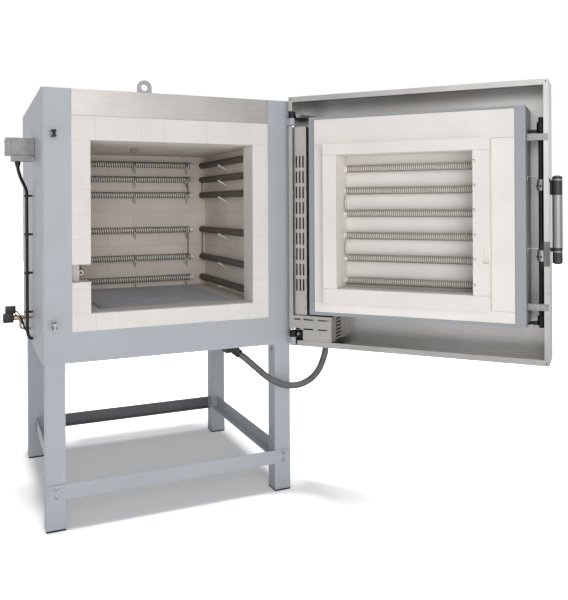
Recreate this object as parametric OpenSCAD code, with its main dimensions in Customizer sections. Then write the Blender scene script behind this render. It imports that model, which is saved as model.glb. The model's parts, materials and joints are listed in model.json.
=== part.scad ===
// Front-loading chamber furnace on a stand, heated on five sides and in the door.
// Millimetres, +Z up. The origin is on the floor under the centre of the four legs;
// the furnace opens towards -Y and its door is hinged on the right.

/* [Stand] */
// How far the legs stand in from each side of the case
stand_in = 10; // [0:1:80]
// How far the case reaches back over the rear legs
stand_back = 60; // [20:1:200]
// Height of the stand
stand_h = 566; // [420:1:760]
// Side of a square leg tube
leg_w = 64; // [50:1:80]
// Wall of the leg tubes
leg_wall = 4; // [2:0.5:6]
// Thickness of the plate that closes a leg at the floor
foot_plate_t = 6; // [4:0.5:12]
// Radius of the anchor hole in a foot plate
anchor_hole_r = 6.75; // [3:0.25:10]
// Height of a rail's flange
rail_h = 50; // [36:1:70]
// Thickness of a rail's steel
rail_t = 4; // [3:0.5:6]
// Width of a rail's lower flange
rail_foot = 30; // [18:1:40]
// Underside of the front and rear rails
rail_z = 108; // [60:1:240]
// Underside of the two side rails
side_rail_z = 122; // [60:1:260]
// Radius of a stand bolt's shank
stand_bolt_r = 4; // [3:0.5:6]
// Radius of a stand bolt's head
stand_head_r = 6.5; // [5.5:0.5:9]

/* [Case] */
// Width of the case
case_w = 922; // [840:1:1100]
// Depth of the case
case_d = 900; // [860:1:1100]
// Height of the case
case_h = 939; // [900:1:1050]
// Thickness of the case's sheet metal
sheet_t = 2; // [1:0.5:4]
// Radius of the front frame's upright edges
edge_r = 12; // [4:1:20]
// How far the front frame returns along the sides
frame_return = 40; // [25:1:80]

/* [Chamber] */
// Width of the door opening in the brick collar
mouth_w = 600; // [560:1:620]
// Underside of the opening, above the case's floor
mouth_up = 165; // [150:1:190]
// Height of the opening
mouth_h = 599; // [590:1:620]
// Width of the whole brick collar
collar_w = 727; // [700:1:760]
// Height of the collar below the opening
sill_h = 60; // [40:1:80]
// Height of the collar above the opening
lintel_h = 84; // [60:1:100]
// Depth of the collar
collar_d = 98; // [80:1:130]
// Depth of the chamber behind the collar
chamber_d = 625; // [560:1:640]
// How far the side walls stand back behind the collar
wall_back = 40; // [36:1:50]
// Bricks in one side of the collar
jamb_bricks = 7; // [3:1:10]
// Bricks in the collar's top and bottom rows
row_bricks = 9; // [3:1:12]
// Gap that keeps two neighbouring linings apart
lining_gap = 0.4; // [0.2:0.1:1]
// Width of the hearth plate
hearth_w = 496; // [400:1:540]
// Depth of the hearth plate
hearth_d = 584; // [400:1:600]
// Thickness of the hearth plate
hearth_t = 14; // [8:1:24]
// Size of the hearth plate's cut corners
hearth_corner = 22; // [0.5:0.5:40]
// Radius of the exhaust hole in the roof
vent_r = 12; // [6:1:20]

/* [Heating] */
// Heights of the wall heating rows above the opening's underside
row_heights = [557, 490, 419, 259, 133, 36];
// Heights of the door heating rows above the door recess's underside
door_row_heights = [438, 356, 273, 190, 108, 23];
// Radius of a ceramic tube
tube_r = 10; // [6:0.5:11]
// Radius of the heating wire
wire_r = 2; // [1:0.25:2.5]
// Gap between a tube and its winding
wire_gap = 0.6; // [0.3:0.1:1]
// Distance between turns as modelled
turn_pitch = 11; // [8:1:30]
// Distance from a wall to the centre of its heating rows
row_stand = 20; // [18:1:24]
// Radius of a ceramic support pin
pin_r = 4; // [2:0.5:5]
// Number of floor heating rows under the hearth plate
floor_rows = 6; // [2:1:8]
// Height of the grooves for the floor heating rows
floor_groove = 34; // [32:1:45]

/* [Door] */
// How much wider the door shell is than the case
door_over = 15.5; // [8:0.5:20]
// Height of the door shell
door_h = 951; // [930:1:1000]
// Depth of the door shell
door_d = 150; // [120:1:180]
// Sheet thickness of the door shell
shell_t = 1.5; // [1:0.5:3]
// Width of the shell's rim
rim_w = 20; // [16:1:28]
// Width of the rim along the lock side
lock_rim_w = 16; // [12:1:17]
// Space between the closed door's rim and the case
door_gap = 40; // [36:0.5:48]
// Distance from the shell's hinge edge to the hinge pin
pin_inset = 15.5; // [14:0.5:20]
// Angle at which the door stands open
door_open = 131.5; // [90:0.5:150]
// How far the door frame's face stands proud of the rim
frame_proud = 29; // [24:1:32]
// How far the brick face stands proud of the rim
brick_proud = 39; // [36:0.5:39.5]
// How far the door plug stands proud of the bricks
plug_proud = 38; // [25:1:60]
// Clearance of the door plug in the opening, each side
plug_clear = 5.5; // [5:0.5:12]
// Width of the brick border around the door's recess
plug_border = 52; // [40:1:70]
// Depth of the recess behind the rim
recess_back = 42; // [38:1:60]

/* [Hinges] */
// Radius of a hinge pin
hinge_pin_r = 7; // [5:0.5:9]
// Radial play of the hinge pins
hinge_play = 0.05; // [0.02:0.01:0.1]
// Radius of a hinge lug on the case
lug_r = 11; // [10:0.5:12]
// Height of a hinge lug
lug_h = 26; // [16:1:34]
// Radius of a hinge hub on the door
hub_r = 13; // [11:0.5:13.5]
// Height of a hinge hub
hub_h = 24; // [18:1:30]
// Thickness of a hinge arm
arm_t = 10; // [6:1:14]
// Reach of a hinge arm along the door
arm_reach = 128; // [80:1:150]
// Underside of the lower hinge lug above the case's base
lower_lug_up = 6; // [4:1:20]
// Underside of the upper hinge lug above the case's base
upper_lug_up = 842; // [800:1:860]

/* [Lock] */
// Radius of the upright lock shaft
shaft_r = 8; // [6:0.5:8.5]
// Distance from the shell's lock edge to the shaft's axis
shaft_inset = 26; // [25:0.5:28]
// Depth of the shaft's axis behind the rim
shaft_back = 28; // [24:0.5:40]
// Angle through which the handle turns the shaft
lock_turn = 40; // [30:1:45]
// Radial play of the shaft in its bearings
shaft_play = 0.05; // [0.02:0.01:0.1]
// Height of the upper claw above the door's lower edge
upper_claw_up = 781; // [700:1:800]
// Height of the lower claw above the door's lower edge
lower_claw_up = 135; // [128:1:160]
// Thickness of a claw
claw_t = 8; // [5:0.5:10]
// Outer radius of a claw
claw_r = 41.3; // [41.3:0.1:42]
// Radius of a catch pin on the case
catch_pin_r = 5; // [3.5:0.25:5]
// Clearance of a catch pin in the claw's groove
catch_clear = 0.5; // [0.4:0.1:0.6]
// Radius of the handle's grip tube
grip_r = 16; // [12:0.5:16.5]
// Distance from the shaft to the grip
grip_swing = 54.6; // [53:0.1:60]
// Length of the grip tube
grip_len = 174; // [120:1:175]
// Thickness of a handle arm
grip_arm_t = 5; // [3:0.5:8]
// Upper handle arm's underside above the door's lower edge
upper_arm_up = 613; // [580:1:640]
// Lower handle arm's underside above the door's lower edge
lower_arm_up = 377; // [340:1:395]

/* [Fittings] */
// Outer radius of the flexible conduit to the door
conduit_r = 12.5; // [10:0.5:13.5]
// Radius of the cable on the left side
cable_r = 6; // [4:0.5:7]
// Radius of the hole in a lifting lug
lift_hole_r = 12.5; // [8:0.5:16]
// Radius of a lifting lug's rounded head
lift_head_r = 26; // [22:0.5:32]
// Thickness of a lifting lug
lift_t = 10; // [6:1:14]

/* [Hidden] */
$fn = 48;

seat = 0.3;                                   // gap between a piece and what carries it
cut = 1;                                      // how far a cutting solid runs past a face
stand_w = case_w - 2 * stand_in;
stand_d = case_d - stand_back;
front_y = -stand_d / 2;                       // the case's front face
rear_y = front_y + case_d;
side_x = case_w / 2;
base_z = stand_h;
top_z = base_z + case_h;

// stand
leg_x = stand_w / 2 - leg_w / 2;
leg_y = stand_d / 2 - leg_w / 2;
rail_end = 6;                                 // rail ends stop this far inside the legs' outer faces
bolt_rise = 14;                               // bolt rows above and below the middle of a rail
head_h = 4.5;                                 // height of a stand bolt's head
clamp_drop = 24;                              // clamp bolts below the case's floor

// chamber
mouth_z0 = base_z + mouth_up;
mouth_z1 = mouth_z0 + mouth_h;
mouth_x = mouth_w / 2;
collar_x = collar_w / 2;
collar_z0 = mouth_z0 - sill_h;
collar_z1 = mouth_z1 + lintel_h;
collar_y = front_y + collar_d;
wall_x = mouth_x + wall_back;
wall_y = collar_y + chamber_d;
hearth_gap = 6;                               // ledge round the hearth plate
hearth_y = collar_y + 8;
joint = 0.5;                                  // joint between two bricks
notch_z = [mouth_z0 + 109, mouth_z0 + 169];   // recess in the left jamb
notch_w = 32;                                 // it goes right through at the opening's edge
notch_d = 55;                                 // and is a recess across the rest of the jamb
vent_at = [-85, front_y + 309];               // exhaust hole in the roof

// heating
coil_in = tube_r + wire_gap;
coil_out = coil_in + 2 * wire_r;
side_row_x = wall_x - row_stand;
rear_row_y = wall_y - row_stand;
rear_row_x = 262;
rear_tube_x = rear_row_x + 14;
row_end_gap = 8;                              // winding stops short of a tube's seat
pin_tilt = 30;                                // support pins rise towards the chamber
low_pin_tilt = 18;                            // flatter pins carry a row close above the floor
low_row = 40;
pin_tip = 11;                                 // a pin's tip stands this far past its winding
pin_reach = 80;
pin_spots = [-240, 0, 240];
floor_row_y = [for (i = [0:floor_rows - 1]) hearth_y + hearth_d * (i + 0.5) / floor_rows];
floor_row_x = hearth_w / 2 - 14;
groove_x = floor_row_x + 6;                   // half length of a groove for a floor row

// door, in its own closed position: s runs from the hinge edge, n into the furnace
door_w = case_w + door_over;
hinge_x = side_x - 13;
hinge_y = front_y - door_gap;
door_z0 = base_z - 1;
door_z1 = door_z0 + door_h;
plug_half = mouth_x - plug_clear;
plug_s0 = hinge_x + pin_inset - plug_half;
plug_s1 = hinge_x + pin_inset + plug_half;
plug_z0 = mouth_z0 + 13;
plug_z1 = mouth_z1 - 7;
plug_n = brick_proud + plug_proud;
field_s = [plug_s0 - 48, plug_s1 + 76];       // brick face, from the shell's hinge edge
field_z = [plug_z0 - 39, plug_z1 + 95];
frame_s = [field_s[0] - 25, field_s[1] + 34];
frame_z = [field_z[0] - 14, field_z[1] + 11];
frame_t = 2;
recess_s = [plug_s0 + plug_border, plug_s1 - plug_border - 2];
recess_z = [plug_z0 + plug_border + 1, plug_z1 - plug_border + 12];
door_row_n = -20;
shaft_s = door_w - shaft_inset;
box_s = 172;                                  // width of the terminal box
box_top = door_z0 + 115;
lower_lug_z = base_z + lower_lug_up;
upper_lug_z = base_z + upper_lug_up;
notch_back = 54;                              // depth of the shell's hinge cut-outs
lug_room = 4;                                 // room round a lug in its cut-out
cover_s = 68;
cover_z = [box_top + 1, upper_lug_z - lug_room - 3];
catch_s = shaft_s - 23.5;                     // where a catch pin stands when the door is closed
catch_n = -8;
catch_x = hinge_x + pin_inset - catch_s;

module span(a, b) { translate(a) cube(b - a); }
module door_span(s, n, z) { span([pin_inset - s[1], n[0], z[0]], [pin_inset - s[0], n[1], z[1]]); }
module at_sn(s, n, z) { translate([pin_inset - s, n, z]) children(); }
module on_door() { translate([hinge_x, hinge_y, 0]) rotate([0, 0, door_open]) children(); }
module on_shaft() { on_door() at_sn(shaft_s, -shaft_back, 0) rotate([0, 0, -lock_turn]) children(); }
module along_y(r, a, b) { translate([0, a, 0]) rotate([-90, 0, 0]) cylinder(r = r, h = b - a); }
module along_x(r, a, b) { translate([a, 0, 0]) rotate([0, 90, 0]) cylinder(r = r, h = b - a); }

// ---- stand ----
module leg(sx, sy) {
  color("lightsteelblue") translate([sx * leg_x, sy * leg_y, foot_plate_t]) difference() {
    translate([-leg_w / 2, -leg_w / 2, 0]) cube([leg_w, leg_w, stand_h - foot_plate_t]);
    translate([leg_wall - leg_w / 2, leg_wall - leg_w / 2, -cut])
      cube([leg_w - 2 * leg_wall, leg_w - 2 * leg_wall, stand_h + 2 * cut]);
    for (z = rail_bolt_z) translate([0, 0, z - foot_plate_t]) along_y(stand_bolt_r + seat, -leg_w, leg_w);
  }
}
rail_bolt_z = [rail_z + rail_h / 2 - bolt_rise, rail_z + rail_h / 2 + bolt_rise];

module front_left_leg() leg(-1, -1);
module front_right_leg() leg(1, -1);
module rear_left_leg() leg(-1, 1);
module rear_right_leg() leg(1, 1);

module foot_plates() color("dimgray")
  for (sx = [-1, 1], sy = [-1, 1]) translate([sx * leg_x, sy * leg_y, 0]) difference() {
    translate([-leg_w / 2, -leg_w / 2, 0]) cube([leg_w, leg_w, foot_plate_t]);
    translate([0, 0, -cut]) cylinder(r = anchor_hole_r, h = foot_plate_t + 2 * cut);
  }

// An angle rail lying on the outer face of two legs, its lower flange pointing inwards
module cross_rail(sy) color("lightsteelblue") {
  x = stand_w / 2 - rail_end;
  inner_x = leg_x - leg_w / 2 - seat;
  y0 = -stand_d / 2 - rail_t;
  mirror([0, sy > 0 ? 1 : 0, 0]) difference() {
    union() {
      span([-x, y0, rail_z], [x, -stand_d / 2, rail_z + rail_h]);
      span([-inner_x, y0, rail_z], [inner_x, y0 + rail_foot, rail_z + rail_t]);
    }
    for (sx = [-1, 1], z = rail_bolt_z)
      translate([sx * leg_x, 0, z]) along_y(stand_bolt_r + seat, y0 - cut, -stand_d / 2 + cut);
  }
}
module front_rail() cross_rail(-1);
module rear_rail() cross_rail(1);

// An angle rail between the front and rear legs of one side
module side_rail(sx) color("lightsteelblue") {
  y = leg_y - leg_w / 2 - seat;
  mirror([sx > 0 ? 0 : 1, 0, 0]) union() {
    span([leg_x - rail_t, -y, side_rail_z], [leg_x, y, side_rail_z + rail_h]);
    span([leg_x - rail_t - rail_foot, -y, side_rail_z], [leg_x - rail_t, y, side_rail_z + rail_t]);
  }
}
module left_rail() side_rail(-1);
module right_rail() side_rail(1);

module stand_bolts() color("silver") {
  for (sx = [-1, 1], sy = [0, 1], z = rail_bolt_z)
    mirror([0, sy, 0]) translate([sx * leg_x, 0, z]) {
      along_y(stand_head_r, -stand_d / 2 - rail_t - head_h, -stand_d / 2 - rail_t);
      along_y(stand_bolt_r, -stand_d / 2 - rail_t - seat, -stand_d / 2 + leg_wall);
    }
  for (sx = [0, 1], sy = [-1, 1])
    mirror([sx, 0, 0]) translate([0, sy * leg_y, stand_h - clamp_drop])
      along_x(stand_head_r, leg_x - leg_w / 2 - head_h, leg_x - leg_w / 2);
}

// ---- case ----
module floor_panel() color("lightsteelblue") difference() {
  span([-side_x + sheet_t, front_y + sheet_t, base_z],
       [side_x - sheet_t, rear_y - sheet_t, base_z + sheet_t]);
  translate([gland_at[0], gland_at[1], base_z - cut]) cylinder(r = conduit_r, h = sheet_t + 2 * cut);
  for (m = [0, 1]) mirror([m, 0, 0])
    span([side_x - edge_r, front_y, base_z - cut], [side_x, front_y + edge_r, base_z + sheet_t + cut]);
}

module side_panel(sx) color("slategray") mirror([sx > 0 ? 0 : 1, 0, 0])
  span([side_x - sheet_t, front_y + frame_return, base_z], [side_x, rear_y, top_z - sheet_t]);
module left_panel() side_panel(-1);
module right_panel() side_panel(1);

module rear_panel() color("slategray") difference() {
  span([-side_x + sheet_t, rear_y - sheet_t, base_z], [side_x - sheet_t, rear_y, top_z - sheet_t]);
  translate([sensor_x, 0, sensor_z]) along_y(sensor_r + 2 * seat, rear_y - sheet_t - cut, rear_y + cut);
}

module roof_panel() color("lightsteelblue") difference() {
  span([-side_x, front_y + frame_return, top_z - sheet_t], [side_x, rear_y, top_z]);
  translate([vent_at[0], vent_at[1], top_z - sheet_t - cut]) cylinder(r = vent_r, h = sheet_t + 2 * cut);
}

// Outline of the front frame's bend, seen from above: the face and both rounded returns
module frame_section(t) {
  r = edge_r;
  for (m = [0, 1]) mirror([m, 0]) {
    translate([side_x - r, front_y + r]) intersection() {
      difference() { circle(r = r); circle(r = r - t); }
      translate([0, -r]) square(r);
    }
    translate([side_x - t, front_y + r]) square([t, frame_return - r]);
  }
  translate([r - side_x, front_y]) square([case_w - 2 * r, t]);
}

module front_frame() color("lightsteelblue") difference() {
  union() {
    translate([0, 0, base_z]) linear_extrude(case_h) frame_section(sheet_t);
    span([-side_x + sheet_t, front_y + sheet_t, top_z - sheet_t],
         [side_x - sheet_t, front_y + frame_return - seat, top_z]);
  }
  span([-collar_x - seat, front_y - cut, collar_z0 - seat],
       [collar_x + seat, front_y + 3 * sheet_t, top_z - 2 * sheet_t]);
  span([-collar_x - seat, front_y - cut, collar_z0], [collar_x + seat, front_y + sheet_t, top_z + cut]);
}

module header_panel() color("silver")
  span([-collar_x, front_y, collar_z1 + seat], [collar_x, front_y + sheet_t, top_z]);

// One brick of a row; the joint is left open on its upper or right-hand side
module brick_run(a, b, count, along_z) {
  len = along_z ? b[2] - a[2] : b[0] - a[0];
  step = len / count;
  for (i = [0:count - 1]) {
    o = i * step;
    if (along_z) span([a[0], a[1], a[2] + o], [b[0], b[1], a[2] + o + step - (i < count - 1 ? joint : 0)]);
    else span([a[0] + o, a[1], a[2]], [a[0] + o + step - (i < count - 1 ? joint : 0), b[1], b[2]]);
  }
}

module collar_bricks() color("linen") {
  y1 = collar_y;
  brick_run([-collar_x, front_y, collar_z0], [collar_x, y1, mouth_z0 - joint], row_bricks, false);
  brick_run([-collar_x, front_y, mouth_z1 + joint], [collar_x, y1, collar_z1], row_bricks, false);
  brick_run([mouth_x, front_y, mouth_z0], [collar_x, y1, mouth_z1], jamb_bricks, true);
  difference() {
    brick_run([-collar_x, front_y, mouth_z0], [-mouth_x, y1, mouth_z1], jamb_bricks, true);
    span([-mouth_x - notch_w, front_y - cut, notch_z[0]], [-mouth_x + cut, y1 + cut, notch_z[1]]);
    span([-collar_x - cut, front_y - cut, notch_z[0]], [-mouth_x + cut, front_y + notch_d, notch_z[1]]);
  }
}

module side_lining(sx) color("antiquewhite") mirror([sx > 0 ? 0 : 1, 0, 0])
  span([wall_x, collar_y + lining_gap, mouth_z0], [side_x - sheet_t - lining_gap, wall_y, mouth_z1]);
module left_lining() side_lining(-1);
module right_lining() side_lining(1);

module rear_lining() color("antiquewhite") difference() {
  span([-side_x + sheet_t + lining_gap, wall_y + lining_gap, mouth_z0],
       [side_x - sheet_t - lining_gap, rear_y - sheet_t - lining_gap, mouth_z1]);
  translate([sensor_x, 0, sensor_z]) along_y(sensor_r + seat, wall_y - cut, rear_y);
}

module roof_lining() color("antiquewhite") difference() {
  span([-side_x + sheet_t + lining_gap, collar_y + lining_gap, mouth_z1 + lining_gap],
       [side_x - sheet_t - lining_gap, rear_y - sheet_t - lining_gap, top_z - sheet_t - lining_gap]);
  translate([vent_at[0], vent_at[1], mouth_z1 - cut]) cylinder(r = vent_r, h = case_h);
}

// The floor lining has a groove for each floor heating row, closed by the hearth plate
module floor_lining() color("antiquewhite") difference() {
  span([-side_x + sheet_t + lining_gap, collar_y + lining_gap, base_z + sheet_t + lining_gap],
       [side_x - sheet_t - lining_gap, rear_y - sheet_t - lining_gap, mouth_z0 - lining_gap]);
  span([-hearth_w / 2 - hearth_gap, hearth_y - hearth_gap, mouth_z0 - hearth_t],
       [hearth_w / 2 + hearth_gap, hearth_y + hearth_d + hearth_gap, mouth_z0 + cut]);
  for (y = floor_row_y)
    span([-groove_x, y - floor_groove / 2, mouth_z0 - hearth_t - floor_groove],
         [groove_x, y + floor_groove / 2, mouth_z0]);
}

module hearth_plate() color("dimgray") translate([0, hearth_y, mouth_z0 - hearth_t + seat])
  linear_extrude(hearth_t) difference() {
    translate([-hearth_w / 2, 0]) square([hearth_w, hearth_d]);
    for (m = [0, 1], y = [0, hearth_d]) mirror([m, 0]) translate([hearth_w / 2, y])
      rotate(45) square(hearth_corner * sqrt(2), center = true);
  }

// ---- heating ----
// An odd number of turns, so that a turn stands in the middle
function winding_turns(len) = 2 * floor(len / turn_pitch / 2) + 1;
// Distance from a winding's end to the bottom between two turns, k turns in
function valley(len, k) = k * len / winding_turns(len);

// A wound heating wire as a sleeve of rounded turns, along +X from 0 to len
module winding(len, out, inner) {
  turns = winding_turns(len);
  step = len / turns;
  root = out - 1.2 * wire_r;
  rotate([0, 90, 0]) rotate_extrude() polygon([[inner, 0], [root, 0],
    for (i = [0:turns - 1], c = turn_profile) [root + c[1] * (out - root), (i + c[0]) * step],
    [root, len], [inner, len]]);
}

// One turn's outline along the winding: share of the pitch, share of the wire's height
turn_profile = [[0.2, 0], [0.38, 1], [0.62, 1], [0.8, 0]];

// The rows of one wall: winding from a to b along X, at the wall's rows
module wall_rows(a, b) for (h = row_heights)
  translate([a, 0, mouth_z0 + h]) winding(b - a, coil_out, coil_in);

module side_coils(sx) color("saddlebrown") mirror([sx > 0 ? 0 : 1, 0, 0])
  translate([side_row_x, 0, 0]) rotate([0, 0, 90]) wall_rows(collar_y + row_end_gap, wall_y - row_end_gap);
module left_coils() side_coils(-1);
module right_coils() side_coils(1);
module rear_coils() color("saddlebrown") translate([0, rear_row_y, 0]) wall_rows(-rear_row_x, rear_row_x);
module floor_coils() color("saddlebrown") for (y = floor_row_y)
  translate([-floor_row_x + row_end_gap, y, floor_row_z])
    winding(2 * (floor_row_x - row_end_gap), coil_out, coil_in);
floor_row_z = mouth_z0 - hearth_t - floor_groove / 2;

module tube(a, b) rotate([0, 90, 0]) difference() {
  translate([0, 0, a]) cylinder(r = tube_r, h = b - a);
  translate([0, 0, a - cut]) cylinder(r = tube_r / 2, h = b - a + 2 * cut);
}

module coil_tubes() color("white") {
  for (h = row_heights) {
    for (m = [0, 1]) mirror([m, 0, 0]) translate([side_row_x, 0, mouth_z0 + h])
      rotate([0, 0, 90]) tube(collar_y + lining_gap + seat, wall_y - seat);
    translate([0, rear_row_y, mouth_z0 + h]) tube(-rear_tube_x, rear_tube_x);
  }
  for (y = floor_row_y) translate([0, y, floor_row_z]) tube(seat - groove_x, groove_x - seat);
}

// A tilted pin whose side carries a winding; x = 0 is the wall and -X the chamber
module support_pin(tilt) {
  reach = coil_out + pin_r + seat;
  translate([-row_stand, 0, 0]) rotate([0, tilt, 0]) translate([0, 0, -reach])
    along_x(pin_r, -pin_tip, row_stand / cos(tilt) + (reach + pin_r) * tan(tilt));
}
module support_pins() color("white") for (h = row_heights) {
  for (m = [0, 1]) mirror([m, 0, 0])
    translate([wall_x, collar_y + chamber_d / 2, mouth_z0 + h]) pin_on_wall(h);
  for (x = pin_spots) translate([x, wall_y, mouth_z0 + h]) rotate([0, 0, 90]) pin_on_wall(h);
}
module pin_on_wall(h) intersection() {
  support_pin(h > low_row ? pin_tilt : low_pin_tilt);
  span([-pin_reach, -pin_reach, -pin_reach], [0, pin_reach, pin_reach]);
}

// Straight wires that join the rows in pairs, at the rear corners
module coil_links() color("saddlebrown") for (pair = link_pairs) {
  z0 = mouth_z0 + row_heights[pair[1]] + link_seat;
  z1 = mouth_z0 + row_heights[pair[0]] - link_seat;
  for (m = [0, 1]) mirror([m, 0, 0])
    translate([side_row_x, wall_y - row_end_gap - valley(chamber_d - 2 * row_end_gap, 1), z0])
      cylinder(r = wire_r, h = z1 - z0);
  translate([rear_row_x - valley(2 * rear_row_x, 1), rear_row_y, z0]) cylinder(r = wire_r, h = z1 - z0);
}
link_seat = coil_out - wire_r;                // a link stands between two turns
link_pairs = [[1, 2], [3, 4]];

sensor_r = 6;
sensor_x = -215;
sensor_z = mouth_z0 + 330;
sensor_reach = 60;                            // how far its tube stands into the chamber
sensor_head = [20, 34];                       // radius of its head, and how far that stands out
module thermocouple() {
  color("white") translate([sensor_x, 0, sensor_z]) {
    along_y(sensor_r, wall_y - sensor_reach, rear_y + seat);
    translate([0, wall_y - sensor_reach, 0]) sphere(r = sensor_r);
  }
  color("silver") translate([sensor_x, 0, sensor_z])
    along_y(sensor_head[0], rear_y + seat, rear_y + sensor_head[1]);
}

// ---- case fittings ----
cover_in = 90;                                // rear cover's distance from the case's edges
cover_left = 220;                             // and from its left edge, past the thermocouple's head
cover_d = 60;
cover_x = [cover_left - side_x, side_x - cover_in];
cover_up = [base_z + cover_in, top_z - cover_in];
louvre = [130, 8];                            // length and height of a slot
louvre_pitch = [180, 40];
louvre_rows = 5;
module rear_cover() color("lightsteelblue") difference() {
  span([cover_x[0], rear_y, cover_up[0]], [cover_x[1], rear_y + cover_d, cover_up[1]]);
  span([cover_x[0] + sheet_t, rear_y - cut, cover_up[0] + sheet_t],
       [cover_x[1] - sheet_t, rear_y + cover_d - sheet_t, cover_up[1] - sheet_t]);
  upper = cover_up[1] - (louvre_rows + 1) * louvre_pitch[1];
  mid_x = (cover_x[0] + cover_x[1]) / 2;
  for (z = [cover_up[0], upper], row = [1:louvre_rows], i = [-1:1])
    translate([mid_x + i * louvre_pitch[0], rear_y + cover_d, z + row * louvre_pitch[1]])
      span([-louvre[0] / 2, -3 * sheet_t, 0], [louvre[0] / 2, cut, louvre[1]]);
}

lift_x = -99;
lift_in = frame_return + 16;                  // lifting lugs from the front and rear faces
lift_base = [84, 44, 5];
module lifting_lugs() color("silver") for (y = [front_y + lift_in, rear_y - lift_in])
  translate([lift_x, y, top_z]) {
    span([-lift_base[0] / 2, -lift_base[1] / 2, 0], [lift_base[0] / 2, lift_base[1] / 2, lift_base[2]]);
    translate([0, 0, lift_base[2]]) difference() {
      union() {
        span([-lift_head_r, -lift_t / 2, 0], [lift_head_r, lift_t / 2, lift_rise]);
        translate([0, 0, lift_rise]) along_y(lift_head_r, -lift_t / 2, lift_t / 2);
      }
      translate([0, 0, lift_rise]) along_y(lift_hole_r, -lift_t, lift_t);
    }
  }
lift_rise = 22;

ear_w = 14;
ear_t = 4;
ear_over = 6;                                 // an ear reaches this far past the catch pin's axis
ear_gap = claw_t + 6;
catch_plate = [26, 4, 30];
module lock_catches() color("dimgray") for (z = [door_z0 + upper_claw_up, door_z0 + lower_claw_up])
  translate([catch_x, 0, z]) {
    span([-catch_plate[0] / 2, front_y - catch_plate[1], -catch_plate[2] / 2],
         [catch_plate[0] / 2, front_y, catch_plate[2] / 2]);
    for (m = [0, 1]) mirror([0, 0, m])
      span([-ear_w / 2, hinge_y + catch_n - ear_over, ear_gap / 2],
           [ear_w / 2, front_y - catch_plate[1], ear_gap / 2 + ear_t]);
    translate([0, hinge_y + catch_n, -ear_gap / 2]) cylinder(r = catch_pin_r, h = ear_gap);
  }

module hinge_lugs() color("lightsteelblue") for (z = [lower_lug_z, upper_lug_z])
  difference() {
    union() {
      translate([hinge_x, hinge_y, z]) cylinder(r = lug_r, h = lug_h);
      span([hinge_x - lug_r, hinge_y, z], [hinge_x + lug_r, front_y, z + lug_h]);
    }
    translate([hinge_x, hinge_y, z - cut]) cylinder(r = hinge_pin_r, h = lug_h + 2 * cut);
  }

module hinge_pins() color("dimgray") for (z = [lower_lug_z, upper_lug_z])
  translate([hinge_x, hinge_y, z]) {
    cylinder(r = hinge_pin_r, h = lug_h + seat + hub_h);
    translate([0, 0, lug_h + seat + hub_h]) cylinder(r1 = hinge_pin_r, r2 = hinge_pin_r - 2, h = 2);
  }

// Route of the conduit from the gland under the case to the door's terminal box
conduit_route = [[256, 27, 534], [272, 21, 521], [287, 16, 507], [304, 9, 491], [323, 2, 473],
  [343, -5, 454], [366, -14, 437], [390, -23, 424], [415, -32, 415], [441, -42, 412], [467, -52, 415],
  [490, -60, 424], [511, -68, 438], [528, -75, 457], [542, -81, 481], [552, -85, 508], [559, -87, 530],
  [562, -88, 549], [562, -88, 564.6]];
gland_at = [222, front_y + 40];
gland_size = [54, 54, 20];
nut_len = 28;                                 // the angled nut that the conduit leaves
nut_wall = 3;
nut_dir = conduit_route[1] - conduit_route[0];
nut_turn = [0, acos(nut_dir[2] / norm(nut_dir)), atan2(nut_dir[1], nut_dir[0])];
module conduit_gland() color("black") {
  translate([gland_at[0], gland_at[1], base_z - gland_size[2]])
    span([-gland_size[0] / 2, -gland_size[1] / 2, 0], [gland_size[0] / 2, gland_size[1] / 2, gland_size[2]]);
  translate([0, front_y, 0] + conduit_route[0]) rotate(nut_turn)
    translate([0, 0, -nut_len - seat]) cylinder(r = conduit_r + nut_wall, h = nut_len);
}

side_box = [100, 90, 63];                     // junction box on the left side: reach, depth, height
box_neck = [[20, 8], 12, 22];                 // gland block below it: in from ends and sides, height
side_box_y = front_y + 256;
side_box_z = base_z + 725;
cable_x = -side_x - 20;                       // the cable stands off the side on its clips
cable_y = front_y + 385;
clip_up = [126, 276, 424, 572];               // clip heights above the case's base
module junction_box() color("gray") {
  span([-side_x - side_box[0], side_box_y, side_box_z],
       [-side_x, side_box_y + side_box[1], side_box_z + side_box[2]]);
  span([-side_x - side_box[0] + box_neck[0][0], side_box_y + box_neck[1], side_box_z - box_neck[2]],
       [-side_x - box_neck[0][1], side_box_y + side_box[1] - box_neck[1], side_box_z]);
}

// One tube swept along a list of points, its rings kept square to the route
function unit(v) = v / norm(v);
function tangent(p, i) = unit(p[min(i + 1, len(p) - 1)] - p[max(i - 1, 0)]);
function ring(c, t, up, r, sides) = let (u = unit(cross(t, up)), v = cross(u, t))
  [for (k = [0:sides - 1]) c + r * (cos(360 * k / sides) * u + sin(360 * k / sides) * v)];
module swept_tube(p, up, r, sides) {
  n = len(p);
  points = [for (i = [0:n - 1]) each ring(p[i], tangent(p, i), up, r, sides)];
  faces = concat([[for (k = [0:sides - 1]) k]],
    [[for (k = [sides - 1:-1:0]) (n - 1) * sides + k]],
    [for (i = [0:n - 2], k = [0:sides - 1]) let (a = i * sides + k, b = i * sides + (k + 1) % sides)
      [a, a + sides, b + sides, b]]);
  polyhedron(points = points, faces = faces, convexity = 6);
}

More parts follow.
